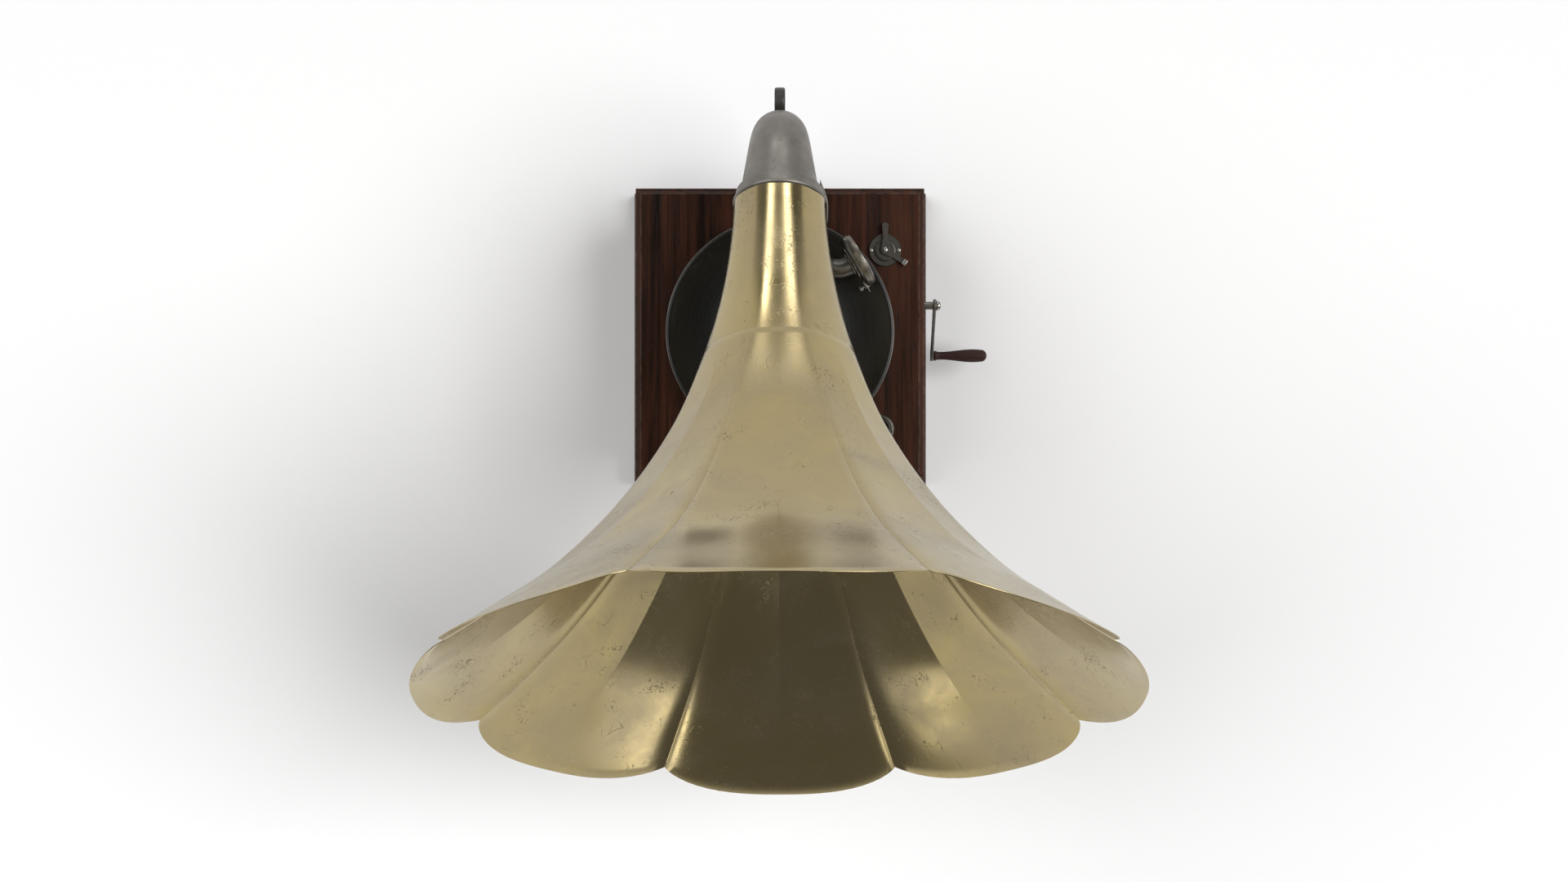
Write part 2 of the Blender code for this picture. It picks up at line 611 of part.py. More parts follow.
def speed_dial(brake, speed):
    """Dial plate with its brake lever, speed arm and screws."""
    place = Matrix.Translation(DIAL)
    plate = [(0, DECK), (DIAL_RADIUS - 0.6, DECK), (DIAL_RADIUS, DECK + 0.6), (DIAL_RADIUS - 0.8, DECK + 2)]
    plate += [(12.2, DECK + 2), (11.4, DECK + 3.2), (0, DECK + 3.2)]
    add("dial_plate", lathe(plate, 28, place), "bronze")
    pin = DECK + 3.2 + GAP
    screw = [(0, pin), (1.7, pin), (1.7, pin + 3.9), (2.3, pin + 3.9), (2.1, pin + 5), (0, pin + 6)]
    add("dial_centre_screw", lathe(screw, 16, place), "steel")
    for side, offset in (("left", -15.5), ("right", 15.5)):
        head = axis_frame(DIAL + Vector((offset, 0, DECK + 2 + GAP)), (0, 0, 1))
        dome = [(0, 0), (2.1, 0), (1.8, 0.6), (0, 1.0)]
        add(f"dial_screw_{side}", lathe(dome, 12, head), "steel")

    low = pin
    arm = rounded_bar((DIAL.x, DIAL.y), 5.5, (DIAL.x + 20, DIAL.y - 13), 3.2, 7)
    pointer = add("speed_arm", prism(arm, low, low + 1.6), "bronze", speed)
    across = Vector((20, -13, 0)).normalized()
    square = Vector((-across.y, across.x, 0))
    tip = DIAL + across * 25.2
    corners = [tip + across * a * 2.6 + square * b * 3.4 for a, b in ((-1, -1), (1, -1), (1, 1), (-1, 1))]
    tab = loft([[Vector((p.x, p.y, z)) for p in corners] for z in (low - 1.2, low + 4.5)])
    alter(pointer, "UNION", [tab])
    alter(pointer, "DIFFERENCE", [rod(2.1, low - 1, low + 3, 16, place)])

    low = pin + 1.6 + GAP
    arm = rounded_bar((DIAL.x, DIAL.y), 5.2, (DIAL.x, DIAL.y + 27), 3.75, 8)
    lever = add("brake_lever", prism(arm, low, low + 1.6), "bronze", brake)
    alter(lever, "DIFFERENCE", [rod(2.1, low - 1, low + 3, 16, place)])


def needle_cup():
    """Small open cup for used needles."""
    cup = [(0, DECK), (CUP_RADIUS - 1, DECK), (CUP_RADIUS, DECK + 1), (CUP_RADIUS, DECK + 2.6)]
    cup += [(CUP_RADIUS - 3, DECK + 3.4), (CUP_RADIUS - 4.5, DECK + 8.0), (CUP_RADIUS - 5.5, DECK + 8.6)]
    cup += [(CUP_RADIUS - 6.5, DECK + 8.0), (CUP_RADIUS - 8, DECK + 2.5), (0, DECK + 1.2)]
    add("needle_cup", lathe(cup, 24, Matrix.Translation(CUP)), "bronze")


# ---------------------------------------------------------------- crank

def crank(turn, spin):
    """Winding shaft, arm, nut, pin and turning grip."""
    line = axis_frame((0, SHAFT_Y, SHAFT_Z), (1, 0, 0))
    small, _ = bevel_pair()
    inner_end = BARREL.x + small["far"] * 0.7
    shaft = add("crank_shaft", rod(SHAFT_RADIUS, inner_end - 1.5, ARM_X - GAP, 20, line), "steel", turn)
    apex = axis_frame((BARREL.x, SHAFT_Y, SHAFT_Z), (1, 0, 0))
    alter(shaft, "UNION", [bevel_gear(small, BEVEL_SMALL, apex, 0.0)])

    end = (SHAFT_Y + CRANK_THROW * math.cos(CRANK_ANGLE), SHAFT_Z + CRANK_THROW * math.sin(CRANK_ANGLE))
    outline = rounded_bar((SHAFT_Y, SHAFT_Z), 7.5, end, 6.5, 8)
    facing = Matrix(((0, 0, 1, 0), (1, 0, 0, 0), (0, 1, 0, 0), (0, 0, 0, 1)))
    add("crank_arm", prism(outline, ARM_X, ARM_X + ARM_BAR, facing), "steel", turn)
    outside = ARM_X + ARM_BAR + GAP
    dome = [(0, outside), (5.6, outside), (5.6, outside + 3), (4, outside + 4.6), (0, outside + 5.4)]
    add("crank_nut", lathe(dome, 16, line), "steel", turn)

    pivot = axis_frame((0, *end), (1, 0, 0))
    add("grip_pin", rod(2.6, outside, GRIP_END - 8, 14, pivot), "steel", turn)
    bore = 2.6 + GAP
    grip = [(0, GRIP_END - 7.4), (bore, GRIP_END - 7.4), (bore, outside + 0.4), (5.6, outside + 0.4)]
    grip += [(5.9, outside + 3), (4.6, outside + 6), (4.9, outside + 16), (6.4, outside + 32)]
    grip += [(7.6, GRIP_END - 16), (7.3, GRIP_END - 8), (5.6, GRIP_END - 2.6), (2.8, GRIP_END - 0.5)]
    grip += [(0, GRIP_END)]
    add("crank_grip", lathe(grip, 24, pivot), "grip_wood", spin)


# ---------------------------------------------------------------- motor

def gear_ring(teeth, root, tip, height, phase, frame=Matrix()):
    """Four points for each tooth: up, across and down its flanks."""
    pitch = math.tau / teeth
    points = []
    for k in range(teeth):
        for share, radius in ((-0.275, root), (-0.10, tip), (0.10, tip), (0.275, root)):
            angle = phase + (k + share) * pitch
            points.append(frame @ Vector((radius * math.cos(angle), radius * math.sin(angle), height)))
    return points


def gear(teeth, module, low, high, phase, frame=Matrix(), bore=0.0):
    """Spur gear with a tooth on the phase angle, solid or as a ring."""
    radius = teeth * module / 2
    root = radius - 1.15 * module
    tip = radius + 0.85 * module
    rings = [gear_ring(teeth, root, tip, z, phase, frame) for z in (low, high)]
    if bore:
        rings.insert(0, gear_ring(teeth, bore, bore, low, phase, frame))
        rings.append(gear_ring(teeth, bore, bore, high, phase, frame))
    return loft(rings, closed=bool(bore))


def bevel_pair():
    """Cone sizes of the winding gears: (small, large), measured from their apex."""
    small = BEVEL_SMALL * BEVEL_MODULE / 2
    large = BEVEL_LARGE * BEVEL_MODULE / 2
    reach = math.hypot(small, large)
    rise = math.atan(0.85 * BEVEL_MODULE / reach)
    drop = math.atan(1.15 * BEVEL_MODULE / reach)
    pair = []
    for mine, other in ((small, large), (large, small)):
        cone = math.atan2(mine, other)
        tip, root = other * math.tan(cone + rise), other * math.tan(cone - drop)
        pair.append({"far": other, "tip": tip, "root": root})
    return pair


def bevel_gear(size, teeth, frame, phase):
    """Bevel gear whose teeth shrink towards the apex at the frame's origin."""
    rings = [gear_ring(teeth, size["root"] * s, size["tip"] * s, size["far"] * s, phase, frame)
             for s in (0.7, 1.0)]
    return loft(rings)


def idler_place():
    """Idler axis: in mesh with the spindle's pinion and the barrel's teeth."""
    near = (WHEEL_TEETH + FAST_PINION) * FAST_MODULE / 2
    far = (BARREL_TEETH + SLOW_PINION) * SLOW_MODULE / 2
    span = BARREL.length
    line = BARREL.normalized()
    along = (near ** 2 - far ** 2 + span ** 2) / (2 * span)
    aside = math.sqrt(near ** 2 - along ** 2)
    return line * along + Vector((-line.y, line.x, 0)) * aside


def governor_place():
    """Governor axis, in mesh with the spindle's large wheel."""
    reach = (WHEEL_TEETH + FAST_PINION) * FAST_MODULE / 2
    return Vector((math.cos(GOVERNOR_HEADING), math.sin(GOVERNOR_HEADING), 0)) * reach


def motor(idler_joint, barrel_joint, arbor_joint, governor_joint):
    """Spring motor hung under the motor board."""
    idler = idler_place()
    governor = governor_place()
    pivots = [(Vector(), 3.5), (idler, 3.0), (governor, 2.5), (BARREL, 4.5)]
    outline = rounded_rectangle((-116, -66), (62, 92), 14)
    for name, low in (("motor_bottom_plate", PLATE_LOW - 1), ("motor_top_plate", PLATE_TOP - PLATE_THICK)):
        plate = add(name, prism(outline, low, low + PLATE_THICK), "steel")
        if name == "motor_top_plate":
            hanger = block((-30, SHAFT_Y - 8.5, SHAFT_Z - 9), (-23, SHAFT_Y + 8.5, PLATE_TOP - 1))
            alter(plate, "UNION", [hanger])
            line = axis_frame((0, SHAFT_Y, SHAFT_Z), (1, 0, 0))
            alter(plate, "DIFFERENCE", [rod(SHAFT_RADIUS + 0.5, -35, -18, 20, line)])
        holes = []
        for place, radius in pivots:
            size = radius if name == "motor_bottom_plate" or place.length > 1 else 5.5
            holes.append(rod(size, low - 2, low + PLATE_THICK + 2, 18, Matrix.Translation(place)))
        alter(plate, "DIFFERENCE", holes)
    low = PLATE_LOW - 1 + PLATE_THICK + GAP
    high = PLATE_TOP - PLATE_THICK - GAP
    for number, (x, y) in enumerate(((50, 80), (50, -54), (-104, -54)), start=1):
        add(f"motor_pillar_{number}", rod(5, low, high, 14, Matrix.Translation((x, y, 0))), "steel")

    to_idler = idler - BARREL
    heading = math.atan2(to_idler.y, to_idler.x)
    here = Matrix.Translation(BARREL)
    drum = [(5.6, 38), (43, 38), (43, 80), (41.4, 80), (41.4, 40), (5.6, 40)]
    barrel = add("mainspring_barrel", lathe(drum, 28, here, closed=True), "steel", barrel_joint)
    teeth = gear(BARREL_TEETH, SLOW_MODULE, 44, 50, heading + math.pi / BARREL_TEETH, here, bore=42.2)
    alter(barrel, "UNION", [teeth])
    add("mainspring", spiral(BARREL, 9, 39, 4, 42, 76), "steel", barrel_joint)

    _, large = bevel_pair()
    apex = axis_frame((BARREL.x, SHAFT_Y, SHAFT_Z), (0, 0, -1))
    post = rod(4, PLATE_LOW, SHAFT_Z - large["far"] * 0.6, 18, here)
    arbor = add("barrel_arbor", post, "steel", arbor_joint)
    alter(arbor, "UNION", [bevel_gear(large, BEVEL_LARGE, apex, math.pi / BEVEL_LARGE)])

    here = Matrix.Translation(idler)
    wheel = add("idler_gear", rod(2.5, PLATE_LOW, PLATE_TOP - 1, 16, here), "steel", idler_joint)
    slow = gear(SLOW_PINION, SLOW_MODULE, 42, 52, heading + math.pi, here)
    to_spindle = math.atan2(-idler.y, -idler.x)
    fast = gear(WHEEL_TEETH, FAST_MODULE, 128, 132, to_spindle + math.pi / WHEEL_TEETH, here)
    alter(wheel, "UNION", [slow, fast])

    here = Matrix.Translation(governor)
    profile = [(0, PLATE_LOW), (2, PLATE_LOW), (2, 68), (5, 68), (5, 73), (2, 73), (2, 110), (5, 110)]
    profile += [(5, 118), (14, 118), (14, 120), (2, 120), (2, PLATE_TOP - 1), (0, PLATE_TOP - 1)]
    rotor = add("governor_rotor", lathe(profile, 20, here), "steel", governor_joint)
    facing = GOVERNOR_HEADING + math.pi + math.pi / FAST_PINION
    tools = [gear(FAST_PINION, FAST_MODULE, 137, 147, facing, here)]
    for k in range(3):
        turn = Matrix.Translation(governor) @ Matrix.Rotation(math.tau * k / 3, 4, "Z")
        tools.append(loft([[turn @ Vector((r, y, z)) for r, z in ((1, 72), (17, 86), (17, 98), (1, 112))]
                           for y in (-0.5, 0.5)]))
        weight = turn @ axis_frame((0, 0, 92), (1, 0, 0))
        tools.append(rod(6, 13, 20, 14, weight))
    alter(rotor, "UNION", tools)


def spiral(centre, start, stop, turns, low, high, thick=1.0):
    """Flat strip wound on itself."""
    steps = turns * 14
    rings = []
    for k in range(steps + 1):
        angle = math.tau * turns * k / steps
        radius = start + (stop - start) * k / steps
        out = Vector((math.cos(angle), math.sin(angle), 0))
        section = ((radius, low), (radius + thick, low), (radius + thick, high), (radius, high))
        rings.append([centre + out * r + Vector((0, 0, z)) for r, z in section])
    return loft(rings)


# ---------------------------------------------------------------- assembly

clear_scene()
MATERIALS = make_materials()

cabinet()
escutcheon()
bracket()

swivel = joint_empty("horn_swivel_axis", 0, PIVOT.y, RING_TOP)
elbow(swivel)
horn(swivel)

swing_axis = joint_empty("tonearm_swing_axis", 0, PIVOT.y, ARM_HEIGHT)
lift_axis = joint_empty("soundbox_lift_axis", 0, PIVOT.y, ARM_HEIGHT)
tone_arm(swing_axis, lift_axis)
sound_box(lift_axis)

turntable(joint_empty("turntable_axis"))
brake_axis = joint_empty("brake_axis", DIAL.x, DIAL.y, LID_TOP)
speed_dial(brake_axis, joint_empty("speed_axis", DIAL.x, DIAL.y, LID_TOP))
needle_cup()

grip_y = SHAFT_Y + CRANK_THROW * math.cos(CRANK_ANGLE)
grip_z = SHAFT_Z + CRANK_THROW * math.sin(CRANK_ANGLE)
crank(joint_empty("crank_axis", ARM_X, SHAFT_Y, SHAFT_Z), joint_empty("grip_axis", ARM_X, grip_y, grip_z))

idler_spot = idler_place()
governor_spot = governor_place()
motor(joint_empty("idler_axis", idler_spot.x, idler_spot.y),
      joint_empty("barrel_axis", BARREL.x, BARREL.y),
      joint_empty("arbor_axis", BARREL.x, BARREL.y),
      joint_empty("governor_axis", governor_spot.x, governor_spot.y))
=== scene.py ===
"""Looks of the wind-up gramophone: wooden case, turntable, tone arm and brass horn."""
import math

import bmesh
import bpy
from mathutils import Matrix, Vector


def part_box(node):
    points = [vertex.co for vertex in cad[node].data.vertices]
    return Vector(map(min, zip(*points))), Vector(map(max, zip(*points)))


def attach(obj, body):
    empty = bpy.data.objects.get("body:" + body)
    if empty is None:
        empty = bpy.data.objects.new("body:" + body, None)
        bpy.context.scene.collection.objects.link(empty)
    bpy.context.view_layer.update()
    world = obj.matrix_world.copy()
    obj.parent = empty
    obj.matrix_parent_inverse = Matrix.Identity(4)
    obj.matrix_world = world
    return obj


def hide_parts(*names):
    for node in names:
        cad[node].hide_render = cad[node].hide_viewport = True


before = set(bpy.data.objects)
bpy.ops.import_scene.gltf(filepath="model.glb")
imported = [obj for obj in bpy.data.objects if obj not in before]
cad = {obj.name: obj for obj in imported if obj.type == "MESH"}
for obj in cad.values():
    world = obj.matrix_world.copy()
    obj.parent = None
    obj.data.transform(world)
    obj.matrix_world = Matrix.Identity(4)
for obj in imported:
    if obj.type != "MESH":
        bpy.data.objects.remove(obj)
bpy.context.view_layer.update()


# ------------------------------------------------------------------ stage
# Pale seamless floor, a broad key light from the right and a weaker one from
# the left, two tall strips behind and two small panels in front for the brass
# to mirror, and a camera that looks straight down.
CAMERA_PLACE = (0.0045, -0.1214, 2.62)
LENS = 50.0
# Floor colour at the front and at the back: painted light, the front painted lighter to stand in for a soft
# light from the front.
FLOOR_FRONT_PAINTED_LIGHT, FLOOR_BACK_PAINTED_LIGHT = 0.885, 0.815
HORN_MIDDLE = (0, 0.1, 0.43)
BELL = (0, -0.4, 0.45)


def deselect():
    """Leave nothing selected, in object mode."""
    if bpy.context.object and bpy.context.object.mode != "OBJECT":
        bpy.ops.object.mode_set(mode="OBJECT")
    bpy.ops.object.select_all(action="DESELECT")


def soft_box(name, place, target, size, watts):
    """Rectangular light turned towards a point, flagged off the floor."""
    bpy.ops.object.light_add(type="AREA", location=place)
    lamp = bpy.context.object
    lamp.name = name
    lamp.data.shape = "RECTANGLE"
    lamp.data.size, lamp.data.size_y = size
    lamp.data.energy = watts
    lamp.visible_diffuse = False
    lamp.rotation_euler = (Vector(target) - Vector(place)).to_track_quat("-Z", "Y").to_euler()


def broad_light(name, heading, spread, strength):
    """Light from far off, as wide in the sky as a large diffuser."""
    bpy.ops.object.light_add(type="SUN")
    lamp = bpy.context.object
    lamp.name = name
    lamp.data.angle = math.radians(spread)
    lamp.data.energy = strength
    lamp.rotation_euler = Vector(heading).to_track_quat("Z", "Y").to_euler()


def link(tree, *wires):
    """Join sockets; a wire is a node and its output, then a node and its input."""
    for source, way_out, target, way_in in wires:
        tree.links.new(source.outputs[way_out], target.inputs[way_in])


def node(tree, kind, **values):
    """Add a node and set its plain values and inputs."""
    made = tree.nodes.new("ShaderNode" + kind)
    for key, value in values.items():
        if key in made.inputs:
            made.inputs[key].default_value = value
        else:
            setattr(made, key, value)
    return made


def ramp(tree, low, high, low_value=0.0, high_value=1.0):
    """Map Range used as a soft threshold."""
    made = node(tree, "MapRange", clamp=True)
    for place, value in zip((1, 2, 3, 4), (low, high, low_value, high_value)):
        made.inputs[place].default_value = value
    return made


def new_finish(name):
    """Material with nothing set: itself, its nodes and its shader."""
    made = bpy.data.materials.new(name)
    made.use_nodes = True
    return made, made.node_tree, made.node_tree.nodes["Principled BSDF"]


deselect()
bpy.ops.object.camera_add(location=CAMERA_PLACE, rotation=(0, 0, 0))
camera = bpy.context.object
camera.data.lens = LENS
camera.data.sensor_width = 36.0
bpy.context.scene.camera = camera

bpy.ops.mesh.primitive_plane_add(size=14, location=(0, 0, 0))
floor = bpy.context.object
floor.name = "floor"
floor_finish, floor_nodes, floor_shader = new_finish("floor_paper")
floor_place = node(floor_nodes, "TexCoord")
floor_split = node(floor_nodes, "SeparateXYZ")
# Painted light: the floor's colour runs from lighter at the front to darker at the back, in place of a soft
# front light.
floor_painted_light = ramp(floor_nodes, -0.9, 0.8, FLOOR_FRONT_PAINTED_LIGHT, FLOOR_BACK_PAINTED_LIGHT)
link(floor_nodes,
     (floor_place, "Object", floor_split, 0), (floor_split, "Y", floor_painted_light, 0),
     (floor_painted_light, 0, floor_shader, "Base Color"))
floor_shader.inputs["Roughness"].default_value = 0.9
floor.data.materials.append(floor_finish)

broad_light("key_light", (0.58, 0.05, 0.81), 40, 2.44)
broad_light("left_light", (-0.64, 0.20, 0.74), 54, 1.66)
soft_box("back_strip_left", (-0.60, 2.75, 1.55), HORN_MIDDLE, (0.26, 1.5), 11)
soft_box("back_strip_right", (0.50, 2.75, 1.55), HORN_MIDDLE, (0.30, 1.5), 12)
soft_box("front_panel_left", (-1.36, -2.80, 0.76), BELL, (0.40, 0.30), 0.95)
soft_box("front_panel_right", (1.04, -2.80, 0.90), BELL, (0.56, 0.44), 2.5)


def make_sky():
    """Pale at the horizon like the floor, and dark above."""
    world = bpy.data.worlds.new("studio")
    world.use_nodes = True
    tree = world.node_tree
    place = node(tree, "TexCoord")
    split = node(tree, "SeparateXYZ")
    level = node(tree, "ValToRGB")
    stops = ((0.0, 0.88), (0.05, 0.66), (0.16, 0.24), (0.34, 0.17), (1.0, 0.14))
    while len(level.color_ramp.elements) < len(stops):
        level.color_ramp.elements.new(0.5)
    for element, (place_on, value) in zip(level.color_ramp.elements, stops):
        element.position = place_on
        element.color = (value, value, value, 1)
    link(tree,
         (place, "Generated", split, 0), (split, "Z", level, 0),
         (level, 0, tree.nodes["Background"], "Color"))
    return world


bpy.context.scene.world = make_sky()
bpy.context.scene.view_settings.view_transform = "Standard"


# ------------------------------------------------------------------ horn neck
# The neck is a cone of sheet brass, folded into eight flats and soldered along
# their edges. Age has dulled it: tarnish clouds, dark specks and fine scratches.
TILT = math.radians(24.0)
AXIS = Vector((0.0, -math.cos(TILT), math.sin(TILT)))
UP = Vector((0.0, math.sin(TILT), math.cos(TILT)))
RIGHT = Vector((1.0, 0.0, 0.0))
THROAT = Vector((0.0, 0.1237, 0.350))
LENGTH = 0.535
NECK = 0.180
SHEET = 0.0008
PETALS = 8
HALF_PETAL = math.pi / PETALS
GAP = 0.0003                   # air between pieces that meet
CHAMFER = 0.81                 # share of a flat's half width where its chamfer starts
FOLD_MIDDLE, FOLD_EDGE = 0.978, 1.006
CURL = 0.0052


def mask_group(name, inputs, outputs):
    """Shader node group with named sockets, and its two end nodes."""
    group = bpy.data.node_groups.new(name, "ShaderNodeTree")
    for label, value in inputs.items():
        kind = "NodeSocketVector" if value is None else "NodeSocketFloat"
        entry = group.interface.new_socket(name=label, in_out="INPUT", socket_type=kind)
        if value is not None:
            entry.default_value = value
    for label in outputs:
        group.interface.new_socket(name=label, in_out="OUTPUT", socket_type="NodeSocketFloat")
    start = group.nodes.new("NodeGroupInput") if inputs else None
    return group, start, group.nodes.new("NodeGroupOutput")


def maths(tree, operation, second=None, kind="Math", **values):
    """Math node; its second term is a number or vector, or is linked in."""
    made = node(tree, kind, operation=operation, **values)
    if second is not None:
        made.inputs[1].default_value = second
    return made


def mix(tree, first, second, blend="MIX"):
    """Mix two colours; a colour that is linked in is None."""
    made = node(tree, "Mix", data_type="RGBA", blend_type=blend)
    for place, colour in ((6, first), (7, second)):
        if colour:
            made.inputs[place].default_value = (*colour, 1)
    return made


def make_cloud_group():
    """Slow clouds, fine specks and hairline scratches, as separate masks."""
    group, start, end = mask_group("age_marks", {"Cloud Scale": 14.0, "Speck Scale": 260.0},
                                   ("Clouds", "Specks", "Scratches"))
    place = node(group, "TexCoord")
    clouds = node(group, "TexNoise", Detail=6.0, Roughness=0.62, Distortion=0.4)
    cloud_ramp = ramp(group, 0.36, 0.68)
    specks = node(group, "TexNoise", Detail=3.0, Roughness=0.7)
    patches = node(group, "TexNoise", Scale=22.0, Detail=4.0, Roughness=0.6)
    both = maths(group, "MULTIPLY")
    speck_ramp = ramp(group, 0.345, 0.42)
    warp = node(group, "TexNoise", Scale=9.0, Detail=2.0)
    turned = maths(group, "MULTIPLY_ADD", (0.25, 0.25, 0.25), kind="VectorMath")
    lines = node(group, "TexVoronoi", feature="DISTANCE_TO_EDGE", Scale=55.0)
    line_ramp = ramp(group, 0.0, 0.022, 1.0, 0.0)
    broken = node(group, "TexNoise", Scale=34.0, Detail=5.0)
    broken_ramp = ramp(group, 0.56, 0.68)
    kept = maths(group, "MULTIPLY")
    link(group,
         (place, "Object", clouds, "Vector"), (start, "Cloud Scale", clouds, "Scale"),
         (clouds, "Fac", cloud_ramp, 0), (cloud_ramp, 0, end, "Clouds"),
         (place, "Object", specks, "Vector"), (start, "Speck Scale", specks, "Scale"),
         (place, "Object", patches, "Vector"), (specks, "Fac", both, 0),
         (patches, "Fac", both, 1), (both, 0, speck_ramp, 0),
         (speck_ramp, 0, end, "Specks"), (place, "Object", warp, "Vector"),
         (warp, "Color", turned, 0), (place, "Object", turned, 2),
         (turned, 0, lines, "Vector"), (lines, "Distance", line_ramp, 0),
         (place, "Object", broken, "Vector"), (broken, "Fac", broken_ramp, 0),
         (line_ramp, 0, kept, 0), (broken_ramp, 0, kept, 1),
         (kept, 0, end, "Scratches"))
    return group


def make_edge_group():
    """Mask that is high along worn edges, broken up by noise."""
    group, start, end = mask_group("edge_wear", {"Width": 0.0015, "Amount": 1.0}, ("Wear",))
    round_edge = node(group, "Bevel", samples=4)
    surface = node(group, "NewGeometry")
    dot = maths(group, "DOT_PRODUCT", kind="VectorMath")
    edge = ramp(group, 0.995, 0.86)
    place = node(group, "TexCoord")
    grain = node(group, "TexNoise", Scale=120.0, Detail=6.0, Roughness=0.7)
    patchy = ramp(group, 0.40, 0.62)
    product = maths(group, "MULTIPLY")
    scaled = maths(group, "MULTIPLY", use_clamp=True)
    link(group,
         (start, "Width", round_edge, "Radius"), (round_edge, 0, dot, 0),
         (surface, "Normal", dot, 1), (dot, "Value", edge, 0),
         (place, "Object", grain, "Vector"), (grain, "Fac", patchy, 0),
         (edge, 0, product, 0), (patchy, 0, product, 1),
         (product, 0, scaled, 0), (start, "Amount", scaled, 1),
         (scaled, 0, end, "Wear"))
    return group


AGE_MARKS = make_cloud_group()
EDGE_WEAR = make_edge_group()


def age_marks(tree, cloud, speck):
    """Marks of age, with the scales of the clouds and of the specks."""
    return node(tree, "Group", node_tree=AGE_MARKS, **{"Cloud Scale": cloud, "Speck Scale": speck})


def edge_wear(tree, width, amount):
    """Wear along the edges."""
    return node(tree, "Group", node_tree=EDGE_WEAR, Width=width, Amount=amount)


def aged_metal(name, clean, dull, dark, bright, rough, metal=1.0, cloud=14.0, speck=260.0,
               marks=1.0, wear=0.5, wear_width=0.0012):
    """Old metal: two tones in clouds, dark specks and scratches, rubbed edges."""
    made, tree, shader = new_finish(name)
    shader.inputs["Metallic"].default_value = metal
    age = age_marks(tree, cloud, speck)
    edges = edge_wear(tree, wear_width, wear)
    tones = mix(tree, clean, dull)
    soiled = mix(tree, None, dark)
    rubbed = mix(tree, None, bright)
    dirt = maths(tree, "MAXIMUM")
    amount = maths(tree, "MULTIPLY", 0.55 * marks, use_clamp=True)
    gloss = ramp(tree, 0.0, 1.0, rough, rough + 0.14)
    rougher = maths(tree, "MULTIPLY_ADD", 0.22 * marks, use_clamp=True)
    relief = node(tree, "Bump", Strength=0.12 * marks, Distance=0.0004)
    height = maths(tree, "SUBTRACT")
    link(tree,
         (age, "Clouds", tones, 0), (tones, 2, soiled, 6),
         (age, "Specks", dirt, 0), (age, "Scratches", dirt, 1),
         (dirt, 0, amount, 0), (amount, 0, soiled, 0),
         (soiled, 2, rubbed, 6), (edges, "Wear", rubbed, 0),
         (rubbed, 2, shader, "Base Color"), (age, "Clouds", gloss, 0),
         (dirt, 0, rougher, 0), (gloss, 0, rougher, 2),
         (rougher, 0, shader, "Roughness"), (age, "Clouds", height, 0),
         (dirt, 0, height, 1), (height, 0, relief, "Height"),
         (relief, 0, shader, "Normal"))
    return made


BRASS = aged_metal("aged_brass", (0.392, 0.314, 0.150), (0.33, 0.268, 0.158), (0.10, 0.082, 0.052),
                   (0.80, 0.66, 0.36), 0.16, cloud=9.0, speck=330.0, marks=1.05,
                   wear=0.6, wear_width=0.0008)


def horn_radius(depth):
    """Radius along the middle of a petal."""
    share = depth / LENGTH
    return 0.0476 - 0.2275 * share + 0.1837 * (math.exp(1.35 * share) - 1)


def ease(value, low, high):
    """Smooth step from 0 to 1 between two limits."""
    t = min(max((value - low) / (high - low), 0.0), 1.0)
    return t * t * (3 - 2 * t)


def sheet_radius(depth, across):
    """Radius of the sheet; across runs from -1 to 1 over one petal.

    The neck has eight flats with narrow chamfers between them. Further on a
    fold divides each petal in two flats, and its edges curl in to a valley."""
    side = abs(across)
    growth = ease(depth, 0.17, 0.50)
    flat = 0.62 - 0.10 * growth
    middle = horn_radius(depth)
    radius = middle / math.cos(HALF_PETAL * side * flat)
    chamfer = (1 - ease(depth, 0.16, 0.26)) * ease(side, CHAMFER - 0.01, CHAMFER + 0.01)
    corner = middle / math.cos(HALF_PETAL * CHAMFER * flat)
    corner *= math.cos(HALF_PETAL * (1 - CHAMFER)) / math.cos(HALF_PETAL * (1 - side))
    radius += (corner - radius) * chamfer
    fold = ease(depth, 0.184, 0.27) * (1 - ease(depth, 0.43, 0.495))
    inner = math.sin(HALF_PETAL * (1 - side)) / (middle * FOLD_MIDDLE)
    outer = math.sin(HALF_PETAL * side) / (middle * FOLD_EDGE)
    radius += (math.sin(HALF_PETAL) / (inner + outer) - radius) * fold
    return radius - CURL * growth * side ** 14


def horn_spot(depth, middle, across):
    """Place on the sheet's outer face."""
    angle = middle + across * HALF_PETAL
    outward = UP * math.cos(angle) + RIGHT * math.sin(angle)
    return THROAT + AXIS * depth + outward * sheet_radius(depth, across)


def ease_edges(item, width, angle, segments=2):
    """Bevel the active piece's edges that are sharper than an angle."""
    easing = item.modifiers.new("easing", "BEVEL")
    easing.width = width
    easing.segments = segments
    easing.limit_method = "ANGLE"
    easing.angle_limit = math.radians(angle)
    bpy.ops.object.modifier_apply(modifier=easing.name)


def give_wall(item, inward, bevel=0.0):
    """Thicken a sheet inwards and ease its edges, then apply both."""
    wall = item.modifiers.new("wall", "SOLIDIFY")
    wall.thickness = inward
    wall.offset = -1.0
    wall.use_even_offset = True
    bpy.ops.object.modifier_apply(modifier=wall.name)
    if bevel:
        ease_edges(item, bevel, 50)


def settle(item, name, finish, angle=30.0):
    """Name a piece, put its place in its mesh, and give it its finish."""
    deselect()
    item.select_set(True)
    bpy.context.view_layer.objects.active = item
    bpy.ops.object.transform_apply(location=True, rotation=True, scale=True)
    item.name = name
    item.data.name = name
    item.data.materials.clear()
    item.data.materials.append(finish)
    bpy.ops.object.shade_smooth_by_angle(angle=math.radians(angle))
    return item


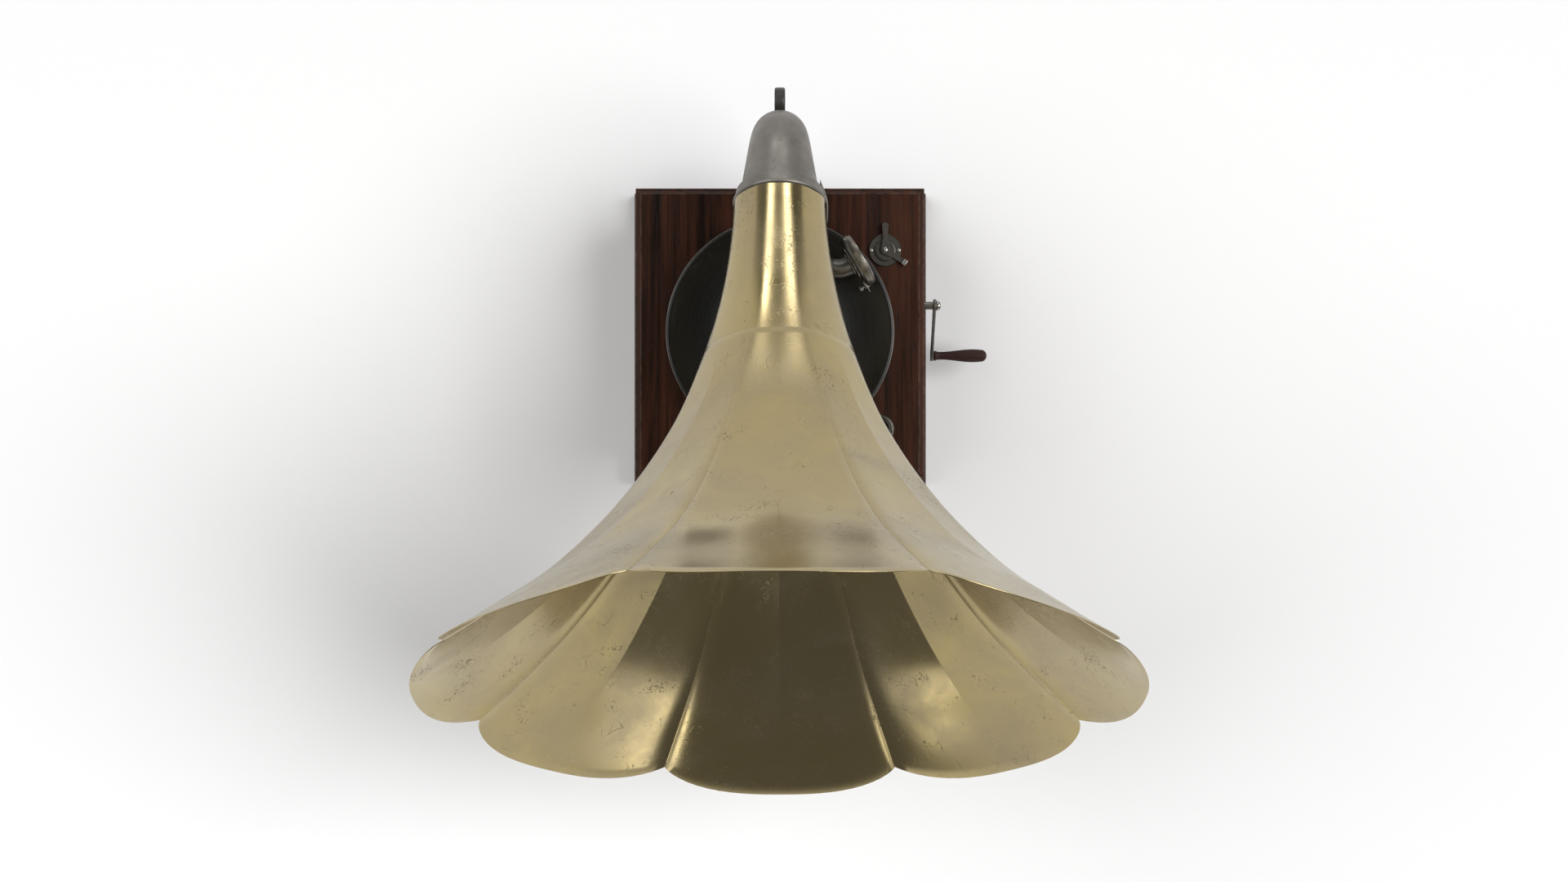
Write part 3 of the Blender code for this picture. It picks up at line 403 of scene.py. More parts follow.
def sheet_grid(columns, rows, place):
    """Grid primitive whose corners are moved onto a curved surface."""
    deselect()
    bpy.ops.mesh.primitive_grid_add(x_subdivisions=columns, y_subdivisions=rows, size=2)
    grid = bpy.context.object
    for vertex in grid.data.vertices:
        vertex.co = place(vertex.co.x, (vertex.co.y + 1) / 2)
    grid.data.update()
    return grid


def face_outwards():
    """Turn the faces of the piece in edit mode outwards, and leave that mode."""
    bpy.ops.mesh.select_all(action="SELECT")
    bpy.ops.mesh.normals_make_consistent(inside=False)
    bpy.ops.object.mode_set(mode="OBJECT")


def weld(distance=0.00001):
    """Merge the active piece's corners that meet, and turn its faces outwards."""
    bpy.ops.object.mode_set(mode="EDIT")
    bpy.ops.mesh.select_all(action="SELECT")
    bpy.ops.mesh.remove_doubles(threshold=distance)
    face_outwards()


def neck_place(u, v):
    """Point of the neck; u runs right round it."""
    turn = (u + 1) / 2 * PETALS
    flat_number = math.floor(turn + 0.5)
    return horn_spot(GAP + (NECK - 0.00033) * v, math.tau * flat_number / PETALS, (turn - flat_number) * 2)


neck = sheet_grid(PETALS * 14, 30, neck_place)
weld(0.00002)
give_wall(neck, SHEET)
settle(neck, "neck_sheet", BRASS, 24)
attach(neck, "horn")
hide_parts("horn_neck")


# ------------------------------------------------------------------ petals
# Eight petals of the same brass, cut with a rounded end, folded down the
# middle, curled at the edges and soldered edge to edge to make the bell.
CUSP = 0.0177


def petal_place(middle):
    """Point function of one petal; its columns crowd towards the edges."""
    def place(u, v):
        side = abs(u) ** 2 * (3 - 2 * abs(u))
        rim = LENGTH - CUSP * side ** 3
        return horn_spot(NECK + (rim - NECK) * v, middle, math.copysign(side, u))
    return place


for number in range(PETALS):
    petal = sheet_grid(32, 46, petal_place(math.tau * number / PETALS))
    petal.data.flip_normals()
    give_wall(petal, SHEET, 0.0001)
    settle(petal, f"petal_sheet_{number + 1}", BRASS, 24)
    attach(petal, "horn")
    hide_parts(f"horn_petal_{number + 1}")


# ------------------------------------------------------------------ horn elbow
# A hollow grey casting, wide at the horn and narrow at its foot, where a plain
# spigot drops into the bracket's ring so that the horn can be turned.
ELBOW_STRAIGHT = 0.0548
ELBOW_BEND = 0.050
ELBOW_WIDE = 0.0440
ELBOW_NARROW = 0.0288
FOOT_Y = 0.203
RING_TOP = 0.2785
SPIGOT_RADIUS = 0.026
SPIGOT_LENGTH = 0.0130
FOOT_START = 0.86              # share of the skin above the shoulder
SHOULDER_END = 0.25            # share of the foot taken up by its shoulder

CASTING = aged_metal("grey_casting", (0.198, 0.184, 0.166), (0.148, 0.138, 0.122), (0.070, 0.063, 0.054),
                     (0.40, 0.38, 0.35), 0.40, metal=0.75, cloud=30.0, speck=420.0, marks=0.5, wear=0.6)


def elbow_line(share):
    """Centre of the elbow and its heading, from the horn's end to the foot."""
    bend = ELBOW_BEND * (math.pi / 2 - TILT)
    run = share * (ELBOW_STRAIGHT + bend)
    if run < ELBOW_STRAIGHT:
        return THROAT - AXIS * (run + GAP), -AXIS
    angle = (run - ELBOW_STRAIGHT) / ELBOW_BEND
    centre = THROAT - AXIS * (ELBOW_STRAIGHT + GAP) - UP * ELBOW_BEND
    place = centre + UP * ELBOW_BEND * math.cos(angle) - AXIS * ELBOW_BEND * math.sin(angle)
    return place, -AXIS * math.cos(angle) - UP * math.sin(angle)


def elbow_place(u, v):
    """Point of the elbow's outer skin, with the spigot as its last stretch."""
    spin = math.pi * u
    if v <= FOOT_START:
        share = v / FOOT_START
        place, heading = elbow_line(share)
        radius = ELBOW_NARROW + (ELBOW_WIDE - ELBOW_NARROW) * (1 - share) ** 1.3
        across = heading.cross(RIGHT).normalized()
        return place + RIGHT * radius * math.cos(spin) + across * radius * math.sin(spin)
    drop = (v - FOOT_START) / (1 - FOOT_START)
    height = RING_TOP + 0.0004 - max(drop - SHOULDER_END, 0) / (1 - SHOULDER_END) * SPIGOT_LENGTH
    radius = ELBOW_NARROW - (ELBOW_NARROW - SPIGOT_RADIUS) * ease(drop, 0.12, SHOULDER_END)
    return Vector((radius * math.cos(spin), FOOT_Y - radius * math.sin(spin), height))


def closed_tube(columns, rows, place, wall=0.0):
    """Tube from a grid, rolled shut; it is given a wall, or else closed ends."""
    tube = sheet_grid(columns, rows, place)
    weld()
    if wall:
        give_wall(tube, wall, 0.0003)
    else:
        bpy.ops.object.mode_set(mode="EDIT")
        bpy.ops.mesh.select_all(action="DESELECT")
        bpy.ops.mesh.select_non_manifold()
        bpy.ops.mesh.edge_face_add()
        bpy.ops.object.mode_set(mode="OBJECT")
    return tube


elbow = closed_tube(64, 60, elbow_place, 0.003)
settle(elbow, "elbow_casting", CASTING, 32)
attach(elbow, "horn")
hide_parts("horn_elbow")


# ------------------------------------------------------------------ collar
# Cast ring with a rolled bead that closes over the horn's throat. A tongue at
# its right holds the horn's side, and a screw beneath clamps it.
COLLAR_RADIUS = 0.049
TONGUE_HALF = 0.006


def facing(axis):
    """Turn that takes straight up to an axis."""
    return Vector((0, 0, 1)).rotation_difference(Vector(axis)).to_matrix().to_4x4()


def turned(name, profile, finish, centre=(0, 0, 0), axis=(0, 0, 1), steps=64, closed=False,
           edge=0.0, angle=30.0, start=0.0):
    """Spin a profile of (radius, height) round an axis, as on a lathe."""
    deselect()
    bpy.ops.mesh.primitive_circle_add(vertices=len(profile), fill_type="NOTHING")
    item = bpy.context.object
    for vertex, (radius, height) in zip(item.data.vertices, profile):
        vertex.co = (radius * math.cos(start), radius * math.sin(start), height)
    bpy.ops.object.mode_set(mode="EDIT")
    if not closed:
        bpy.ops.mesh.select_all(action="DESELECT")
        outline = bmesh.from_edit_mesh(item.data)
        ends = {0, len(profile) - 1}
        for side in outline.edges:
            side.select_set({corner.index for corner in side.verts} == ends)
        bpy.ops.mesh.delete(type="EDGE")
    bpy.ops.mesh.select_all(action="SELECT")
    bpy.ops.mesh.spin(steps=steps, angle=math.tau, center=(0, 0, 0), axis=(0, 0, 1))
    weld()
    item.matrix_world = Matrix.Translation(centre) @ facing(axis)
    settle(item, name, finish, angle)
    if edge:
        ease_edges(item, edge, 28)
    return item


def arc_points(centre, radius, start, stop, steps):
    """Points on an arc of a profile, angles in degrees."""
    angles = [math.radians(start + (stop - start) * k / steps) for k in range(steps + 1)]
    return [(centre[0] + radius * math.cos(a), centre[1] + radius * math.sin(a)) for a in angles]


bead = arc_points((COLLAR_RADIUS - 0.0024, -0.0032), 0.0024, 110, -100, 10)
collar_profile = [(0.0444, -0.0010)] + bead + [(0.0460, -0.0062), (0.0457, -0.0150), (0.0444, -0.0160)]
ring = turned("ring", collar_profile, CASTING, THROAT, AXIS, 96, closed=True, edge=0.0002)


def pressed(outline, thickness):
    """Flat blank: a closed outline of places, given its thickness."""
    deselect()
    bpy.ops.mesh.primitive_circle_add(vertices=len(outline), fill_type="NGON")
    item = bpy.context.object
    for vertex, place in zip(item.data.vertices, outline):
        vertex.co = place
    bpy.ops.object.mode_set(mode="EDIT")
    bpy.ops.mesh.select_all(action="SELECT")
    bpy.ops.mesh.extrude_region_move(TRANSFORM_OT_translate={"value": thickness})
    face_outwards()
    return item


def clip_tongue():
    """Cast tongue on the collar's right, which slides along the horn's side."""
    outline = [(-0.028, 0.0424), (-0.023, 0.0440), (-0.016, 0.0466), (-0.008, 0.0491), (-0.002, 0.0500),
               (0.004, 0.0503), (0.012, 0.0502), (0.017, 0.0496), (0.0172, 0.0490), (0.0005, 0.0489),
               (-0.003, 0.0460), (-0.015, 0.0448), (-0.028, 0.0421)]
    item = pressed([THROAT + AXIS * depth + RIGHT * reach - UP * TONGUE_HALF for depth, reach in outline],
                   UP * TONGUE_HALF * 2)
    settle(item, "tongue", CASTING, 40)
    ease_edges(item, 0.0003, 60)
    return item


def joined(name, *items):
    """Join finished pieces into one object."""
    deselect()
    for item in items:
        item.select_set(True)
    bpy.context.view_layer.objects.active = items[0]
    bpy.ops.object.join()
    items[0].name = name
    items[0].data.name = name
    return items[0]


collar = joined("collar_ring", ring, clip_tongue())
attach(collar, "horn")
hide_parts("elbow_collar")

STEEL = aged_metal("nickelled_steel", (0.31, 0.297, 0.272), (0.21, 0.197, 0.177), (0.07, 0.06, 0.05),
                   (0.66, 0.64, 0.60), 0.24, cloud=40.0, speck=500.0, marks=0.9, wear=0.7)
screw_place = THROAT - AXIS * 0.0105 - UP * (COLLAR_RADIUS - 0.0024)
screw_profile = [(0, 0), (0.003, 0), (0.003, 0.002), (0.0050, 0.0023), (0.0056, 0.0030), (0.0056, 0.0080),
                 (0.0050, 0.0090), (0.0030, 0.0100), (0, 0.0104)]
clamp = turned("clamp_screw", screw_profile, STEEL, screw_place, -UP, 28, edge=0.0002)
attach(clamp, "horn")
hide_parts("horn_clamp_screw")


# ------------------------------------------------------------------ bracket
# One iron casting: a plate screwed to the back wall, a strap that sweeps out
# behind the lid and curls forward, and the ring that carries horn and arm.
WALL = 0.152
STRAP_HALF = 0.0058


def smooth_line(corners, share):
    """Point on a Catmull-Rom curve through the corners, share from 0 to 1."""
    padded = [2 * corners[0] - corners[1]] + corners + [2 * corners[-1] - corners[-2]]
    place = min(share, 0.99999) * (len(corners) - 1)
    k = int(place)
    t = place - k
    a, b, c, d = padded[k:k + 4]
    return 0.5 * (2 * b + (c - a) * t + (2 * a - 5 * b + 4 * c - d) * t ** 2
                  + (3 * b - 3 * c + d - a) * t ** 3)


BRACKET_IRON = aged_metal("bracket_iron", (0.044, 0.041, 0.037), (0.032, 0.030, 0.027), (0.035, 0.030, 0.025),
                          (0.26, 0.25, 0.23), 0.42, metal=0.7, cloud=30.0, speck=420.0, marks=0.6, wear=0.8)
STRAP_LINE = [Vector((0, y, z)) for y, z in (
    (0.1545, 0.092), (0.182, 0.094), (0.222, 0.118), (0.250, 0.166), (0.258, 0.220),
    (0.2575, 0.256), (0.253, 0.272), (0.244, 0.276), (0.232, 0.2705))]


def strap_place(u, v):
    """Point of the strap: a flat bar with rounded edges."""
    here = smooth_line(STRAP_LINE, v)
    ahead = smooth_line(STRAP_LINE, min(v + 0.01, 1.0)) - smooth_line(STRAP_LINE, max(v - 0.01, 0.0))
    out = ahead.normalized().cross(RIGHT)
    spin = math.pi * u
    square = 0.38
    side = math.copysign(abs(math.cos(spin)) ** square, math.cos(spin))
    lift = math.copysign(abs(math.sin(spin)) ** square, math.sin(spin))
    thick = 0.0043 + 0.0012 * (1 - v)
    return here + RIGHT * STRAP_HALF * side + out * thick * lift


def cast_plate(name, low, high, finish, corner, edge):
    """Plate from a cube: its corners rounded, then every edge eased."""
    deselect()
    middle = (Vector(low) + Vector(high)) / 2
    bpy.ops.mesh.primitive_cube_add(size=1, location=middle)
    item = bpy.context.object
    item.scale = Vector(high) - Vector(low)
    bpy.ops.object.transform_apply(location=True, rotation=True, scale=True)
    spans = Vector(high) - Vector(low)
    thin = min(range(3), key=lambda k: spans[k])
    bpy.ops.object.mode_set(mode="EDIT")
    bpy.ops.mesh.select_all(action="DESELECT")
    shape = bmesh.from_edit_mesh(item.data)
    for side in shape.edges:
        run = side.verts[1].co - side.verts[0].co
        side.select_set(abs(run[thin]) > 0.9 * spans[thin])
    bmesh.update_edit_mesh(item.data)
    if corner:
        bpy.ops.mesh.bevel(offset=corner, segments=6, affect="EDGES")
    bpy.ops.object.mode_set(mode="OBJECT")
    settle(item, name, finish, 32)
    if edge:
        ease_edges(item, edge, 40, 3)
    return item


plate = cast_plate("plate", (-0.022, WALL + GAP, 0.055), (0.022, WALL + 0.0053, 0.128), BRACKET_IRON,
                   0.009, 0.0012)
strap = settle(closed_tube(32, 90, strap_place), "strap", BRACKET_IRON, 40)
ring_profile = [(0.0265, 0.2550), (0.0290, 0.2550), (0.0305, 0.2570), (0.0305, 0.2765), (0.0300, 0.2780),
                (0.0290, 0.2785), (0.0265, 0.2785)]
ring = turned("ring", ring_profile, BRACKET_IRON, (0, FOOT_Y, 0), steps=72, closed=True, edge=0.0004)
bracket = joined("bracket_casting", plate, strap, ring)
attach(bracket, "cabinet")
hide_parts("back_bracket")

SCREW_STEEL = aged_metal("screw_steel", (0.33, 0.315, 0.29), (0.22, 0.205, 0.18), (0.05, 0.04, 0.03),
                         (0.60, 0.58, 0.54), 0.26, cloud=90.0, speck=800.0, wear=0.9, wear_width=0.0005)


def carve(item, tool, operation="DIFFERENCE"):
    """Cut a tool out of a piece, or join it on, and clear the tool away."""
    cut = item.modifiers.new("cut", "BOOLEAN")
    cut.operation = operation
    cut.object = tool
    bpy.context.view_layer.objects.active = item
    bpy.ops.object.modifier_apply(modifier=cut.name)
    bpy.data.objects.remove(tool)


def dome_points(radius, rise, base, angles):
    """Points on a dome of a profile, angles in degrees above its base."""
    return [(radius * math.cos(math.radians(a)), base + rise * math.sin(math.radians(a))) for a in angles]


def slotted_screw(name, radius, height, centre, axis, turn):
    """Domed screw head with a sawn slot."""
    dome = [(0, 0), (radius, 0), (radius, height * 0.35)]
    dome += dome_points(radius, height * 0.65, height * 0.35, (20, 40, 60, 78)) + [(0, height)]
    head = turned(name, dome, SCREW_STEEL, centre, axis, 24)
    deselect()
    bpy.ops.mesh.primitive_cube_add(size=1)
    saw = bpy.context.object
    spin = Matrix.Rotation(math.radians(turn), 4, "Z")
    size = Matrix.Diagonal((radius * 3, radius * 0.26, height, 1))
    lift = Matrix.Translation((0, 0, height * 1.10))
    saw.matrix_world = Matrix.Translation(centre) @ facing(axis) @ lift @ spin @ size
    carve(head, saw)
    return head


for place, height, turn in (("upper", 0.116, 25), ("lower", 0.066, -40)):
    screw = slotted_screw(f"bracket_screw_head_{place}", 0.0045, 0.0032, (0, WALL + 0.0056, height),
                          (0, 1, 0), turn)
    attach(screw, "cabinet")
    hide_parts(f"bracket_screw_{place}")


# ------------------------------------------------------------------ case
# Mahogany case: mitred plinth, four walls with a fielded panel each, a plain
# bottom board, and a moulded lid that carries the motor. French polished.
LID_HALF = 0.162
LID_LOW, LID_TOP = 0.165, 0.183
# width in from the last cut, and how far that cut steps out
PANEL_CUTS = ((0.024, 0.0), (0.0012, -0.0022), (0.007, 0.0), (0.0012, -0.0010), (0.010, 0.0022))


def make_grain_group():
    """Straight wood grain that runs along local Y: bands, streaks and pores."""
    group, start, end = mask_group("wood_grain", {"Vector": None}, ("Bands", "Streaks", "Pores"))
    parts = (("Bands", (16, 1.6, 16), 3.0, 0.38, 0.64), ("Streaks", (120, 5, 120), 6.0, 0.36, 0.66),
             ("Pores", (900, 34, 900), 2.0, 0.58, 0.68))
    for name, size, detail, low, high in parts:
        stretch = maths(group, "MULTIPLY", size, kind="VectorMath")
        noise = node(group, "TexNoise", Scale=1.0, Detail=detail, Roughness=0.6, Distortion=0.25)
        limit = ramp(group, low, high)
        link(group,
             (start, "Vector", stretch, 0), (stretch, 0, noise, "Vector"),
             (noise, "Fac", limit, 0), (limit, 0, end, name))
    return group


WOOD_GRAIN = make_grain_group()


def polished_wood(name, turn, dark, red, light, worn, rough=0.30, wear=0.9, width=0.0022):
    """Polished wood, its grain turned by three angles in degrees."""
    made, tree, shader = new_finish(name)
    shader.inputs["Specular IOR Level"].default_value = 0.10
    place = node(tree, "TexCoord")
    turned_grain = node(tree, "Mapping")
    turned_grain.inputs["Rotation"].default_value = [math.radians(a) for a in turn]
    grain = node(tree, "Group", node_tree=WOOD_GRAIN)
    edges = edge_wear(tree, width, wear)
    bands = mix(tree, dark, red)
    streaks = mix(tree, None, light)
    soften = maths(tree, "MULTIPLY", 0.62)
    pores = mix(tree, None, (0.30, 0.26, 0.24), "MULTIPLY")
    rubbed = mix(tree, None, worn)
    gloss = ramp(tree, 0.0, 1.0, rough, rough + 0.14)
    relief = node(tree, "Bump", Strength=0.22, Distance=0.0003, invert=True)
    link(tree,
         (place, "Object", turned_grain, "Vector"), (turned_grain, 0, grain, "Vector"),
         (grain, "Bands", bands, 0), (bands, 2, streaks, 6),
         (grain, "Streaks", soften, 0), (soften, 0, streaks, 0),
         (streaks, 2, pores, 6), (grain, "Pores", pores, 0),
         (pores, 2, rubbed, 6), (edges, "Wear", rubbed, 0),
         (rubbed, 2, shader, "Base Color"), (grain, "Streaks", gloss, 0),
         (gloss, 0, shader, "Roughness"), (grain, "Pores", relief, "Height"),
         (relief, 0, shader, "Normal"))
    return made


MAHOGANY = ((0.0055, 0.0024, 0.0014), (0.020, 0.0064, 0.0028), (0.074, 0.0220, 0.0085), (0.21, 0.13, 0.10))
WOOD_Y = polished_wood("mahogany_front_to_back", (0, 0, 0), *MAHOGANY)
WOOD_X = polished_wood("mahogany_side_to_side", (0, 0, 90), *MAHOGANY)


def polish(finish, *names):
    """Give plain pieces of the frame their finish."""
    for name in names:
        cad[name].data.materials.clear()
        cad[name].data.materials.append(finish)


polish(WOOD_X, "plinth_front", "plinth_back", "bottom_board")
polish(WOOD_Y, "plinth_left", "plinth_right")

root2 = math.sqrt(2)
cove = arc_points((LID_HALF, LID_TOP - 0.0025), 0.0045, 270, 180, 6)
lid_profile = [(0, LID_LOW), (LID_HALF - 0.010, LID_LOW), (LID_HALF - 0.003, LID_LOW + 0.001),
               (LID_HALF, LID_LOW + 0.0040)]
lid_profile += [(LID_HALF, LID_TOP - 0.0078)] + cove
lid_profile += [(LID_HALF - 0.0059, LID_TOP - 0.0012), (LID_HALF - 0.0063, LID_TOP), (0, LID_TOP)]
lid = turned("lid_board", [(r * root2, z) for r, z in lid_profile], WOOD_Y, steps=4, start=math.pi / 4,
             edge=0.0005, angle=20)


def drill(item, radius, place, axis):
    """Bore a round hole along an axis."""
    deselect()
    bpy.ops.mesh.primitive_cylinder_add(vertices=40, radius=radius, depth=0.05)
    bit = bpy.context.object
    bit.matrix_world = Matrix.Translation(place) @ facing(axis)
    carve(item, bit)


drill(lid, 0.007, (0, 0, LID_TOP), (0, 0, 1))
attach(lid, "cabinet")
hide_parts("motor_board")


def fielded_wall(name, cad_name, axis, sign, finish):
    """Wall board with a sunk frame and a raised field, cut from its outer face."""
    low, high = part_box(cad_name)
    deselect()
    bpy.ops.mesh.primitive_cube_add(size=1, location=(low + high) / 2)
    wall = bpy.context.object
    wall.scale = high - low
    bpy.ops.object.transform_apply(location=True, rotation=True, scale=True)
    bpy.ops.object.mode_set(mode="EDIT")
    bpy.ops.mesh.select_all(action="DESELECT")
    bpy.ops.mesh.select_mode(type="FACE")
    shape = bmesh.from_edit_mesh(wall.data)
    for face in shape.faces:
        face.select_set(face.normal[axis] * sign > 0.9)
    bmesh.update_edit_mesh(wall.data)
    out = Vector((0, 0, 0))
    out[axis] = sign
    for inset, step in PANEL_CUTS:
        bpy.ops.mesh.inset(thickness=inset, depth=0.0)
        if step:
            bpy.ops.transform.translate(value=out * step)
    bpy.ops.mesh.select_mode(type="VERT")
    bpy.ops.object.mode_set(mode="OBJECT")
    settle(wall, name, finish, 25)
    ease_edges(wall, 0.0006, 20)
    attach(wall, "cabinet")
    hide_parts(cad_name)
    return wall


fielded_wall("front_wall", "front_panel", 1, -1, WOOD_X)
fielded_wall("back_wall", "back_panel", 1, 1, WOOD_X)
fielded_wall("left_wall", "left_panel", 0, -1, WOOD_Y)
right_wall = fielded_wall("right_wall", "right_panel", 0, 1, WOOD_Y)
SHAFT_Y, SHAFT_Z = 0.0352, 0.100
drill(right_wall, 0.007, (WALL, SHAFT_Y, SHAFT_Z), (1, 0, 0))


# ------------------------------------------------------------------ turntable
# A pressed steel platter with a nickelled rim turns on the motor's spindle.
# Wine-red felt is glued to its top, and a shellac record lies on the felt.
PLATTER = 0.127
PLATTER_TOP = 0.2015
SPINDLE = 0.0034
CENTRE_HOLE = 0.0037

rim = arc_points((PLATTER - 0.0010, 0.2021), 0.0010, 0, 180, 8)
platter_profile = [(CENTRE_HOLE, 0.187), (0.010, 0.187), (0.011, 0.188), (0.0115, 0.1955), (0.060, 0.1962)]
platter_profile += [(PLATTER - 0.008, 0.1970), (PLATTER - 0.0040, 0.1950), (PLATTER - 0.0030, 0.1905)]
platter_profile += arc_points((PLATTER - 0.0015, 0.1912), 0.0015, 200, 360, 8)
platter_profile += rim + [(PLATTER - 0.0021, PLATTER_TOP + 0.0003), (PLATTER - 0.004, PLATTER_TOP),
                          (CENTRE_HOLE, PLATTER_TOP)]
RIM_STEEL = aged_metal("platter_steel", (0.11, 0.105, 0.095), (0.075, 0.07, 0.062), (0.03, 0.026, 0.02),
                       (0.24, 0.23, 0.21), 0.30, cloud=36.0, speck=520.0, marks=0.8, wear=0.4)
platter = turned("platter_pressing", platter_profile, RIM_STEEL, steps=160, closed=True)
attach(platter, "turntable")
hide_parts("turntable_platter")


def felt_finish():
    """Wool felt: matted fibres in two shades, with sheen."""
    made, tree, shader = new_finish("wine_felt")
    shader.inputs["Sheen Weight"].default_value = 0.4
    shader.inputs["Roughness"].default_value = 0.95
    place = node(tree, "TexCoord")
    fibres = node(tree, "TexNoise", Scale=900.0, Detail=4.0, Distortion=2.0)
    blend = mix(tree, (0.030, 0.006, 0.006), (0.085, 0.018, 0.016))
    relief = node(tree, "Bump", Strength=0.5, Distance=0.0004)
    link(tree,
         (place, "Object", fibres, "Vector"), (fibres, "Fac", blend, 0),
         (blend, 2, shader, "Base Color"), (fibres, "Fac", relief, "Height"),
         (relief, 0, shader, "Normal"))
    return made


polish(felt_finish(), "turntable_mat")

RECORD_LOW, RECORD_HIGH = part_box("record")[0].z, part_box("record")[1].z
RECORD_RADIUS = 0.1254
LABEL_RADIUS = 0.040


def groove_group():
    """Fine rings round the spindle, and the wider bands between tracks."""
    group, _, end = mask_group("record_rings", {}, ("Height", "Bands"))
    place = node(group, "TexCoord")
    flat = maths(group, "MULTIPLY", (1, 1, 0), kind="VectorMath")
    reach = maths(group, "LENGTH", kind="VectorMath")
    fine = maths(group, "MULTIPLY", 6200.0)
    wave = maths(group, "SINE")
    wide = node(group, "TexNoise", noise_dimensions="1D", Detail=2.0, Scale=420.0)
    band = ramp(group, 0.40, 0.62)
    link(group,
         (place, "Object", flat, 0), (flat, 0, reach, 0),
         (reach, "Value", fine, 0), (fine, 0, wave, 0),
         (wave, 0, end, "Height"), (reach, "Value", wide, "W"),
         (wide, "Fac", band, 0), (band, 0, end, "Bands"))
    return group


def shellac_finish():
    """Black shellac: grooves, slightly greyer bands, a little dust."""
    made, tree, shader = new_finish("grooved_shellac")
    rings = node(tree, "Group", node_tree=groove_group())
    age = age_marks(tree, 20.0, 600.0)
    shader.inputs["Specular IOR Level"].default_value = 0.28
    tone = mix(tree, (0.0030, 0.0030, 0.0025), (0.0042, 0.0041, 0.0034))
    dusty = mix(tree, None, (0.05, 0.047, 0.04))
    little = maths(tree, "MULTIPLY", 0.3)
    gloss = ramp(tree, 0.0, 1.0, 0.27, 0.29)
    relief = node(tree, "Bump", Strength=0.01, Distance=0.0002)
    link(tree,
         (rings, "Bands", tone, 0), (tone, 2, dusty, 6),
         (age, "Specks", little, 0), (little, 0, dusty, 0),
         (dusty, 2, shader, "Base Color"), (rings, "Bands", gloss, 0),
         (gloss, 0, shader, "Roughness"), (rings, "Height", relief, "Height"),
         (relief, 0, shader, "Normal"))
    return made


groove_out, groove_in = RECORD_RADIUS - 0.004, LABEL_RADIUS + 0.010
record_profile = [(CENTRE_HOLE, RECORD_LOW), (RECORD_RADIUS - 0.0006, RECORD_LOW)]
record_profile += arc_points((RECORD_RADIUS - 0.0007, (RECORD_LOW + RECORD_HIGH) / 2), 0.0007, -60, 60, 6)
record_profile += [(RECORD_RADIUS - 0.0012, RECORD_HIGH), (groove_out, RECORD_HIGH)]
record_profile += [(groove_out - 0.0003, RECORD_HIGH - 0.00012), (groove_in, RECORD_HIGH - 0.00012)]
record_profile += [(groove_in - 0.0003, RECORD_HIGH), (CENTRE_HOLE, RECORD_HIGH)]
disc = turned("record_disc", record_profile, shellac_finish(), steps=180, closed=True)
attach(disc, "turntable")
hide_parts("record")


def label_finish():
    """Plain printed paper: wine ground, two gilt rings, rubbed and foxed."""
    made, tree, shader = new_finish("label_paper")
    shader.inputs["Roughness"].default_value = 0.7
    place = node(tree, "TexCoord")
    flat = maths(tree, "MULTIPLY", (1, 1, 0), kind="VectorMath")
    reach = maths(tree, "LENGTH", kind="VectorMath")
    rings = maths(tree, "PINGPONG", 0.0155)
    gilt = ramp(tree, 0.0137, 0.0142)
    paper = node(tree, "TexNoise", Scale=160.0, Detail=6.0)
    ground = mix(tree, (0.070, 0.010, 0.010), (0.13, 0.024, 0.020))
    print_mix = mix(tree, None, (0.34, 0.25, 0.11))
    link(tree,
         (place, "Object", flat, 0), (flat, 0, reach, 0),
         (reach, "Value", rings, 0), (rings, 0, gilt, 0),
         (place, "Object", paper, "Vector"), (paper, "Fac", ground, 0),
         (ground, 2, print_mix, 6), (gilt, 0, print_mix, 0),
         (print_mix, 2, shader, "Base Color"))
    return made


label_profile = [(0.0038, RECORD_HIGH + 0.00002), (LABEL_RADIUS, RECORD_HIGH + 0.00002),
                 (LABEL_RADIUS, RECORD_HIGH + 0.00012), (0.0038, RECORD_HIGH + 0.00012)]
label = turned("record_label", label_profile, label_finish(), steps=96, closed=True)
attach(label, "turntable")

tip_profile = [(0, 0.1870), (SPINDLE, 0.1870), (SPINDLE, 0.2088)]
tip_profile += dome_points(SPINDLE, SPINDLE, 0.2088, (25, 50, 72)) + [(0, 0.2122)]
spindle_tip = turned("spindle_tip", tip_profile, STEEL, steps=32)
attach(spindle_tip, "turntable")


# ------------------------------------------------------------------ speed dial
# Dark bronzed plate screwed to the lid. The upper lever works the brake, and
# the lower arm with its turned-up tab sets the governor. A needle cup matches.
DIAL = Vector((0.1176, 0.0919, 0.0))
DIAL_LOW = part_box("dial_plate")[0].z
LEVER_THICK = 0.0016
LEVER_BORE = 0.0021
PIN_LONG = 0.0039
BRONZE = aged_metal("dark_bronze", (0.062, 0.057, 0.048), (0.038, 0.035, 0.029), (0.02, 0.017, 0.013),
                    (0.30, 0.27, 0.21), 0.36, metal=0.85, cloud=60.0, speck=700.0,
                    wear=0.8, wear_width=0.0005)


def lifted(profile, base):
    """Profile whose heights are measured from a base."""
    return [(radius, base + height) for radius, height in profile]


plate_profile = [(0, 0), (0.0178, 0), (0.01835, 0.0005), (0.01800, 0.0016), (0.0174, 0.0020),
                 (0.0166, 0.0020), (0.0163, 0.0017), (0.0126, 0.0017), (0.0121, 0.0022), (0.0116, 0.0030),
                 (0.0110, 0.0032), (0.0092, 0.0032), (0.0088, 0.0029), (0.0066, 0.0029), (0.0062, 0.0032),
                 (0, 0.0032)]
dial = turned("dial_disc", lifted(plate_profile, DIAL_LOW), BRONZE, DIAL, steps=72)
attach(dial, "cabinet")
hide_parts("dial_plate")


